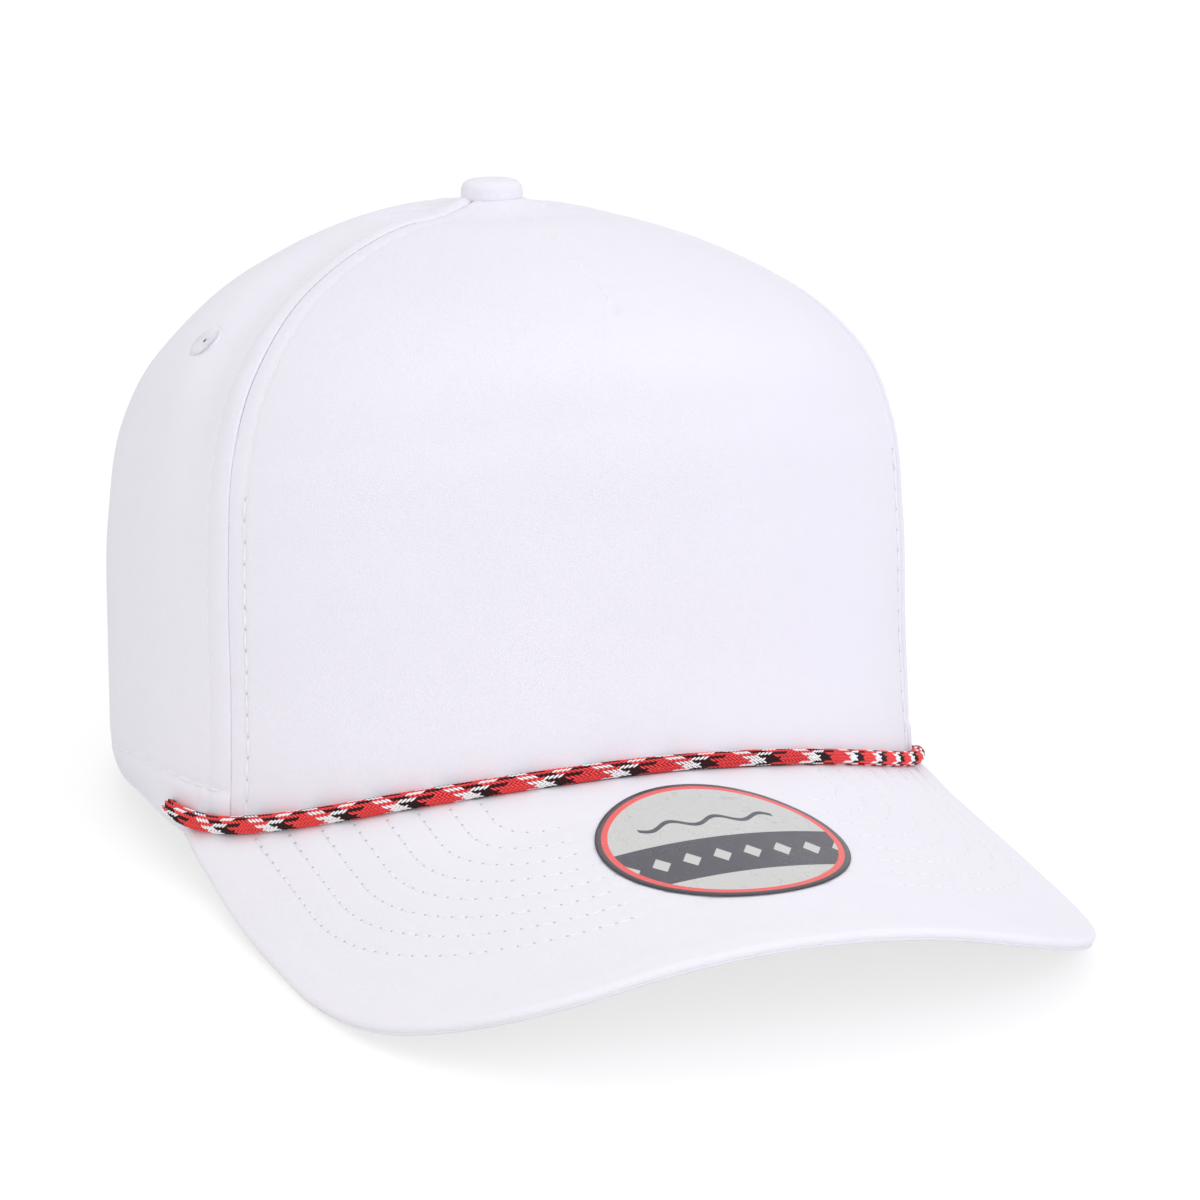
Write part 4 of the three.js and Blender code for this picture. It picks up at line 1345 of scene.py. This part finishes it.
def brim_layer(columns, rows, lift, thickness, inset, relief_share):
    """One layer of the brim, with round edges, `lift` above or below the brim's own surface."""

    def faces_of(across_share, along):
        share = 2 * spread(across_share, (0, 0.05, 0.95, 1), (0, 0.012, 0.988, 1)) - 1
        along_share = spread(along, (0, 0.04, 0.82, 0.93, 1), (0, 0.015, 0.9, 0.972, 1))
        inner_across, inner_forward = brim_inner_edge(share)
        outer_across, outer_forward = brim_outline(share)
        across = mix(inner_across, outer_across, along_share)
        forward = mix(inner_forward, outer_forward, along_share)
        column = np.hypot(outer_across - inner_across, outer_forward - inner_forward)
        distance = nearest(
            np.maximum(brim_edge_distance(across, forward), 0),
            np.maximum(brim_side_distance(across, forward), 0),
            column * along_share,
        )
        distance = np.where(on_border(across_share, along), 0, np.maximum(distance, 0.01))
        half = (thickness / 2 * round_edge(distance, thickness / 2))[:, None]
        normal = brim_normal(across)
        up = unit(mix(np.array((0.0, 0.0, 1.0)), normal, smooth(4 * along_share)[:, None]))
        relief = relief_share * brim_relief(across, forward) + brim_root_lift(across, forward)
        near = forward[:, None] + np.linspace(-9, 9, 13)
        bulge = read_table(BRIM_SIDE_BULGE, near).mean(axis=1)
        bulge = bulge * smooth((np.abs(across) - 80) / 12)
        pull = inset * (1 - smooth(distance / 6))
        shrunk = 1 - pull / np.maximum(column, 1)
        across = mix(inner_across, across, shrunk) + np.sign(across) * bulge
        forward = mix(inner_forward, forward, shrunk)
        middle = brim_point(across, forward) + up * (lift + relief - thickness / 2)[:, None]
        return middle + up * half, middle - up * half, np.stack((across, forward), axis=1)

    return closed_shell(columns, rows, faces_of)


def brim():
    overlap = 0.35
    core_thickness = BRIM_THICKNESS - UNDER_CLOTH_THICKNESS
    top = brim_layer(240, 120, 0.0, core_thickness + overlap, 0.0, 1.0)
    new_piece("brim_top", top, [BRIM_CLOTH], ["brim"])
    under = brim_layer(120, 50, -core_thickness + 0.05, UNDER_CLOTH_THICKNESS, -0.1, 0.0)
    new_piece("brim_under_cloth", under, [BRIM_CLOTH])


def brim_row_line(row):
    """One row of stitches round the brim, clipped where it runs under the cord."""
    radius = BRIM_ROW_RADIUS - row * BRIM_ROW_SPACING
    behind = 60
    turn = np.linspace(0, np.pi / 2, 120)
    side_forward = np.linspace(-behind, 0, 60)[:-1] + BRIM_ROW_CENTRE["forward"]
    side_across = np.full_like(side_forward, BRIM_ROW_CENTRE["across"] + radius)
    corner_across = BRIM_ROW_CENTRE["across"] + radius * np.cos(turn)
    corner_forward = BRIM_ROW_CENTRE["forward"] + radius * np.sin(turn)
    half_across = np.concatenate((side_across, corner_across))
    half_forward = np.concatenate((side_forward, corner_forward))
    across = np.concatenate((-half_across, half_across[::-1]))
    forward = np.concatenate((half_forward, half_forward[::-1]))
    joint_across, joint_forward = brim_inner_edge(np.linspace(-1, 1, 201))
    room = ROPE_DIAMETER / 2 + CLEARANCE
    is_clear = forward > np.interp(across, joint_across, joint_forward) + room
    return across[is_clear], forward[is_clear]


def brim_sewing():
    sewing = Sewing(BRIM_STITCH_PITCH, BRIM_NEEDLE_HOLE, hole_lift=0.1)
    for row in range(BRIM_STITCH_ROWS):
        across, forward = brim_row_line(row)
        normals = brim_normal(across)
        lift = brim_relief(across, forward) + brim_root_lift(across, forward) - 0.1
        points = brim_point(across, forward) + normals * lift[:, None]
        sewing.line(points, normals)
    sew("brim_rows", sewing, WHITE_THREAD, BRIM_HOLE_SHADE)


# Cord
def rope_slack(share):
    """How much less than its full half girth the cord measures, at a share of its length."""
    return ROPE_DIAMETER / 2 * (1 - read_table(ROPE_GIRTH, share))


def rope_centre(angle):
    """The cord's middle line, in the corner between crown and brim."""
    room = ROPE_DIAMETER / 2 + CLEARANCE
    up = up_at_height(angle, joint_height(angle) + room)
    out = unit(crown_normal(angle, up) * (1, 1, 0))
    centre = crown_point(angle, up) + out * room
    across = brim_place(centre[..., 0], centre[..., 1])[0]
    lift = joint_height(angle) - brim_height_at_rim(angle)
    lift = lift + read_table(ROPE_CREEP, angle)
    height = brim_height(centre[..., 0], centre[..., 1]) + room / brim_normal(across)[..., 2] + lift
    return np.stack((centre[..., 0], centre[..., 1], height), axis=-1), out


class CordLine:
    """The cord's middle line by length, with its directions away from the crown and upwards."""

    def __init__(self):
        shares = np.linspace(0, 1, 600)
        self.course, self.outs = rope_centre(mix(ROPE_RIGHT_END, ROPE_LEFT_END, shares))
        self.length = line_length(self.course)
        self.points = self.course - self.outs * (rope_slack(shares) + self.tuck_in())[:, None]

    def tuck_in(self):
        """Each end turns in towards the crown over its last few millimetres, where it is sewn down."""
        steps = np.linalg.norm(np.diff(self.course, axis=0), axis=1)
        run = np.concatenate(([0], np.cumsum(steps)))
        bend = 1 - smooth(np.minimum(run, run[-1] - run) / 4)
        return bend * bend

    def surface(self, places, turns, radii):
        """Points at a length along, a turn round from outwards to upwards, and a distance from the middle."""
        ahead = along_line(self.course, self.points, np.minimum(places + 0.4, self.length))
        behind = along_line(self.course, self.points, np.maximum(places - 0.4, 0))
        tangent = unit(ahead - behind)
        out = along_line(self.course, self.outs, places)
        out = unit(out - tangent * np.sum(out * tangent, axis=1, keepdims=True))
        up = np.cross(tangent, -out)
        centre = along_line(self.course, self.points, places)
        round_it = np.cos(turns)[:, None] * out + np.sin(turns)[:, None] * up
        return centre + round_it * radii[:, None]


def strand_dye(place):
    """Which yarn lies at a place of the pattern on the cord's main face: 0 red, 0.5 white, 1 black."""
    strand = np.mod(place, 2 * STRANDS_EACH_WAY) / 2
    is_white = strand < WHITE_STRANDS
    is_black = (strand >= WHITE_STRANDS) & (strand < WHITE_STRANDS + BLACK_STRANDS)
    return np.where(is_white, 0.5, np.where(is_black, 1.0, 0.0))


def braid_floats(length):
    """Where each visible float of the braid lies: its place along, its turn round, its lean and its dye.

    Two sets of strands wind opposite ways, each over two and under two, so the floats make rows along the
    cord that lean one way and the other by turns.
    """
    crossings = 2 * STRANDS_EACH_WAY
    step = BRAID_PITCH / crossings
    order = np.arange(-crossings, int(length / step) + crossings)
    places, turns, leans, dyes = [], [], [], []
    for row in range(STRANDS_EACH_WAY // 2):
        for lean, line in ((1, 4 * row + 0.5), (-1, 4 * row + 2.5)):
            steps = 2 * order + lean * line
            place = np.interp(steps * step, BRAID_PUSH["braid"], BRAID_PUSH["cord"], left=-1)
            kept = (place > 0.6) & (place < length - 0.6)
            places.append(place[kept])
            turns.append(np.full(kept.sum(), 2 * np.pi * line / crossings))
            leans.append(np.full(kept.sum(), float(lean)))
            dyes.append(strand_dye(2 * order[kept] - BRAID_START / step))
    return [np.concatenate(parts) for parts in (places, turns, leans, dyes)]


def cord_taper(places, length):
    """How far the cord is drawn in from its full girth, down to its two rounded ends."""
    nearest_end = np.minimum(places, length - places)
    girth = read_table(ROPE_GIRTH, places / length)
    return girth * (0.3 + 0.7 * round_edge(nearest_end, 1.8))


def main_face_turn(places, length):
    """How far the pattern's main face has twisted round the cord along its length."""
    return np.radians(read_table(MAIN_FACE, places / length))


def rope():
    line = CordLine()
    places, turns, leans, dyes = braid_floats(line.length)
    grain = ball(6, 4)
    shape = coordinates(grain)
    local = np.stack((
        np.sign(shape[:, 2]) * np.abs(shape[:, 2]) ** 0.85 * FLOAT_LENGTH / 2,
        shape[:, 0] * FLOAT_WIDTH / 2,
        shape[:, 1] * FLOAT_HEIGHT / 2,
    ), axis=1)
    count = len(local)
    mesh = repeated(grain, len(places))
    lay = math.atan2(math.pi * ROPE_DIAMETER, BRAID_PITCH)
    surface_radius = ROPE_DIAMETER / 2 - FLOAT_HEIGHT / 2
    lean = leans[:, None]
    taper = cord_taper(places, line.length)
    along = local[None, :, 0] * math.cos(lay) - lean * local[None, :, 1] * math.sin(lay)
    around = lean * local[None, :, 0] * math.sin(lay) + local[None, :, 1] * math.cos(lay)
    twist = main_face_turn(places, line.length)
    all_places = np.clip(places[:, None] + along, 0, line.length).ravel()
    all_turns = ((turns + twist)[:, None] + around * taper[:, None] / surface_radius).ravel()
    radii = ((surface_radius + local[None, :, 2]) * taper[:, None]).ravel()
    set_coordinates(mesh, line.surface(all_places, all_turns, radii))
    keep_flat_map(mesh, np.tile(local[:, :2], (len(places), 1)))
    dye = mesh.attributes.new("dye", "FLOAT", "POINT")
    dye.data.foreach_set("value", np.repeat(dyes, count).astype(np.float32))

    # The core shows between the floats in the painted shade of the red yarn.
    core = ball(16, 150)
    turn, down = polar_shares(core)
    core_places = down * line.length
    rounded_ends = np.minimum(1, 12 * np.sin(np.pi * down))
    core_radii = (surface_radius - 0.05) * cord_taper(core_places, line.length) * rounded_ends
    set_coordinates(core, line.surface(core_places, turn, core_radii))
    keep_flat_map(core, np.stack((core_places, turn), axis=1))
    core_dye = core.attributes.new("dye", "FLOAT", "POINT")
    core_dye.data.foreach_set("value", np.zeros(len(core.vertices), np.float32))
    new_piece("braided_rope", joined([mesh, core]), [BRAIDED_CORD], ["rope"])
    return line


# Button: a covered disc whose cloth is gathered under its edge
def button():
    radius = DRAWN_BUTTON_RADIUS
    face = BUTTON_FACE
    profile = [
        (0, face), (radius - 4.4, face - 0.05), (radius - 2.5, face - 0.2),
        (radius - 1.3, face - 0.55), (radius - 0.55, face - 1.1), (radius - 0.15, face - 1.85),
        (radius, face - 2.75), (radius, face - 3.75), (radius - 0.1, face - 4.4),
        (radius - 0.6, face - 4.9), (BUTTON_STUD_RADIUS, face - 5),
        (BUTTON_STUD_RADIUS, -BUTTON_STUD_LENGTH), (0, -BUTTON_STUD_LENGTH),
    ]
    mesh = turned(profile, 96, 64)
    points = coordinates(mesh)
    turn = np.arctan2(points[:, 1], points[:, 0])
    radius = np.hypot(points[:, 0], points[:, 1])
    low = smooth((face - 1.2 - points[:, 2]) / 2) * smooth((radius - 4) / 2)
    gathers = 0.10 * ripple(turn * 10 / np.pi, 1.4, 17) * low
    flat = np.stack((points[:, 0], points[:, 1]), axis=1) * (1 + 0.2 * low)[:, None]
    points[:, :2] *= (1 + gathers / np.maximum(radius, 1))[:, None]
    points += (BUTTON_SHIFT, CROWN_TOP_SETBACK, CROWN_HEIGHT)
    set_coordinates(mesh, points)
    keep_flat_map(mesh, flat)
    new_piece("covered_button", mesh, [PANEL_CLOTH], ["button"])


# Eyelets: satin stitches worked round a hole
def eyelet(name, angle, mirror):
    radial_stitches = 64
    half = CROWN_WALL / 2 - 0.04
    outer = EYELET_RADIUS - 0.7
    hole = EYELET_HOLE_RADIUS - 0.95
    crest = (outer + hole) / 2
    profile = []
    for step in range(33):
        turn = 2 * np.pi * step / 32
        width = (outer - hole) / 2 * 0.94
        profile.append((crest - width * np.cos(turn), half * np.sin(turn)))
    bm = bmesh.new()
    verts = [bm.verts.new((radius, 0, height)) for radius, height in profile[:-1]]
    edges = [bm.edges.new((verts[i - 1], verts[i])) for i in range(len(verts))]
    bmesh.ops.spin(
        bm, geom=verts + edges, cent=(0, 0, 0), axis=(0, 0, 1), angle=2 * np.pi, steps=48, use_merge=True,
    )
    bmesh.ops.remove_doubles(bm, verts=bm.verts, dist=0.001)
    bmesh.ops.recalc_face_normals(bm, faces=bm.faces)
    ring = to_mesh(bm, "ring")

    grain = ball(6, 6)
    shape = coordinates(grain)
    length = outer - hole
    raised = shape[:, 1] * 0.2 + 0.14 * (1 - shape[:, 2] ** 2)
    set_coordinates(grain, np.stack((shape[:, 2] * length / 2, shape[:, 0] * 0.19, raised), axis=1))
    turns = 2 * np.pi * np.arange(radial_stitches) / radial_stitches
    draw = random.Random(len(name))
    reach = np.array([crest + draw.uniform(-0.12, 0.12) for _ in turns])
    radial = np.stack((np.cos(turns), np.sin(turns), np.zeros_like(turns)), axis=1)
    stitches = []
    for face in (1, -1):
        centres = radial * reach[:, None] + np.array((0, 0, face * (half - 0.12)))
        normals = np.tile(np.array((0.0, 0.0, float(face))), (radial_stitches, 1))
        stitches.append(set_out(grain.copy(), centres, radial, normals))
    mesh = joined([ring, *stitches])

    up = np.array(EYELET_UP)
    angle = np.array(float(angle))
    normal = crown_normal(angle, up)
    level = unit(np.cross(np.array((0.0, 0.0, 1.0)), normal))
    frame_axes = np.stack((level, np.cross(normal, level), normal), axis=0)
    middle = crown_skin(angle, up, CROWN_WALL / 2)
    set_coordinates(mesh, coordinates(mesh) @ frame_axes + middle)
    if mirror < 0:
        mesh = mirrored(mesh)
    new_piece(f"{name}_stitched", mesh, [EYELET_THREAD], [name])


# Inner band and back strap
def inside_band(columns, rows, start_angle, end_angle, above, height, thickness, puff):
    face = CROWN_WALL + LINING_CLEARANCE

    def faces_of(across, along):
        angle = mix(start_angle, end_angle, across)
        share = spread(along, (0, 0.2, 0.8, 1), (0, 0.06, 0.94, 1))
        up = up_at_height(angle, rim_height(angle) + above + share * height)
        normal = crown_normal(angle, up)
        width = np.radians(end_angle - start_angle) * CROWN_HALF_WIDTH
        distance = nearest(share * height, (1 - share) * height, across * width, (1 - across) * width)
        to_edge = np.where(on_border(across, along), 0, distance)
        half = thickness / 2 * round_edge(to_edge, thickness / 2)
        swell = puff * hump(share - 0.5, 0.35) * (0.6 + 0.4 * ripple(across * width, 30, 41))
        middle = crown_point(angle, up) - normal * (face + thickness / 2)
        outer = middle + normal * half[:, None]
        inner = middle - normal * (half + swell * smooth(distance / 3))[:, None]
        return outer, inner, np.stack((across * width, share * height), axis=1)

    return closed_shell(columns, rows, faces_of)


def sweatband():
    mesh = inside_band(
        240, 30, -BAND_END_ANGLE, BAND_END_ANGLE, BAND_ABOVE_RIM, BAND_HEIGHT, BAND_THICKNESS, 0.5,
    )
    new_piece("sweatband_cloth", mesh, [BAND_CLOTH], ["sweatband"])
    sewing = Sewing()
    angle = np.linspace(-BAND_END_ANGLE + 1, BAND_END_ANGLE - 1, 500)
    for share, extra in ((0.07, 0.05), (0.93, 0.05)):
        up = up_at_height(angle, rim_height(angle) + BAND_ABOVE_RIM + share * BAND_HEIGHT)
        depth = CROWN_WALL + LINING_CLEARANCE + BAND_THICKNESS + extra
        sewing.line(crown_skin(angle, up, depth), -crown_normal(angle, up))
    sew("sweatband_edges", sewing, WHITE_THREAD, PANEL_HOLE_SHADE)


def snap_strap():
    opening_angle = math.degrees(math.asin(OPENING_HALF_WIDTH / CROWN_HALF_WIDTH))
    lap_angle = math.degrees(STRAP_LAP / CROWN_BACK_REACH)
    reach = opening_angle + lap_angle
    mesh = inside_band(120, 24, 180 - reach, 180 + reach, STRAP_ABOVE_RIM, STRAP_HEIGHT, STRAP_THICKNESS, 0.0)
    new_piece("snap_strap_plastic", mesh, [STRAP_PLASTIC], ["snap_strap"])


# Sticker: a thin round film that lies on the brim
def sticker():
    thickness = 0.22
    mesh = ball(120, 60)
    turn, down = polar_shares(mesh)
    on_top = down < 0.5
    radius = DRAWN_STICKER_RADIUS * np.where(on_top, down, 1 - down) * 2
    edge = thickness / 2 * round_edge(DRAWN_STICKER_RADIUS - radius, thickness / 2)
    across = radius * np.sin(turn)
    ahead = radius * np.cos(turn)
    lift = 0.2 + np.where(on_top, edge, -edge)
    on_brim = across + DRAWN_STICKER_PLACE["across"]
    forward = DRAWN_STICKER_PLACE["from_joint"] + ahead
    lift = lift + brim_root_lift(on_brim, forward) + 0.08
    place = brim_point(on_brim, forward)
    set_coordinates(mesh, place + brim_normal(on_brim) * lift[:, None])
    bm = bmesh.new()
    bm.from_mesh(mesh)
    bmesh.ops.recalc_face_normals(bm, faces=bm.faces)
    mesh = to_mesh(bm)
    keep_flat_map(mesh, np.stack((across, -ahead), axis=1))
    new_piece("round_sticker", mesh, [STICKER_FILM], ["brim_sticker"])


# Stage
def stage():
    bm = bmesh.new()
    bmesh.ops.create_grid(bm, x_segments=2, y_segments=2, size=6)
    floor = bpy.data.objects.new("floor", to_mesh(bm, "floor"))
    floor.data.materials.append(PALE_FLOOR)
    bpy.context.scene.collection.objects.link(floor)

    world = bpy.data.worlds.new("studio")
    world.use_nodes = True
    tree = world.node_tree
    seen = tree.nodes.new("ShaderNodeLightPath").outputs["Is Camera Ray"]
    background = tree.nodes["Background"]
    background.inputs["Color"].default_value = (1, 1, 1, 1)
    tree.links.new(between(tree, seen, STUDIO_LIGHT, 1.0), background.inputs["Strength"])
    bpy.context.scene.world = world

    for name, place, size, power, colour in LAMPS:
        light = bpy.data.lights.new(name, "AREA")
        light.shape = "DISK"
        light.size = size
        light.energy = power
        light.color = colour
        lamp = bpy.data.objects.new(name, light)
        lamp.location = place
        aim = Vector((0, 0, 0.06)) - Vector(place)
        lamp.rotation_euler = aim.to_track_quat("-Z", "Y").to_euler()
        bpy.context.scene.collection.objects.link(lamp)
    bpy.context.scene.view_settings.view_transform = "Standard"


def cap():
    front_panel()
    reliefs = {}
    for side, seed, top_fold in (("left", 60, 0.1), ("right", 80, 1.0)):
        reliefs[side] = (side_panel(side, seed, top_fold), back_panel(side, seed + 10))
    crown_sewing(reliefs)
    front_seam_shadow_line()
    brim()
    brim_sewing()
    rope()
    button()
    for side, mirror in (("left", 1), ("right", -1)):
        eyelet(f"eyelet_side_{side}", EYELET_SIDE_ANGLE, mirror)
        eyelet(f"eyelet_back_{side}", EYELET_BACK_ANGLE, mirror)
    sweatband()
    snap_strap()
    sticker()


cap()
stage()
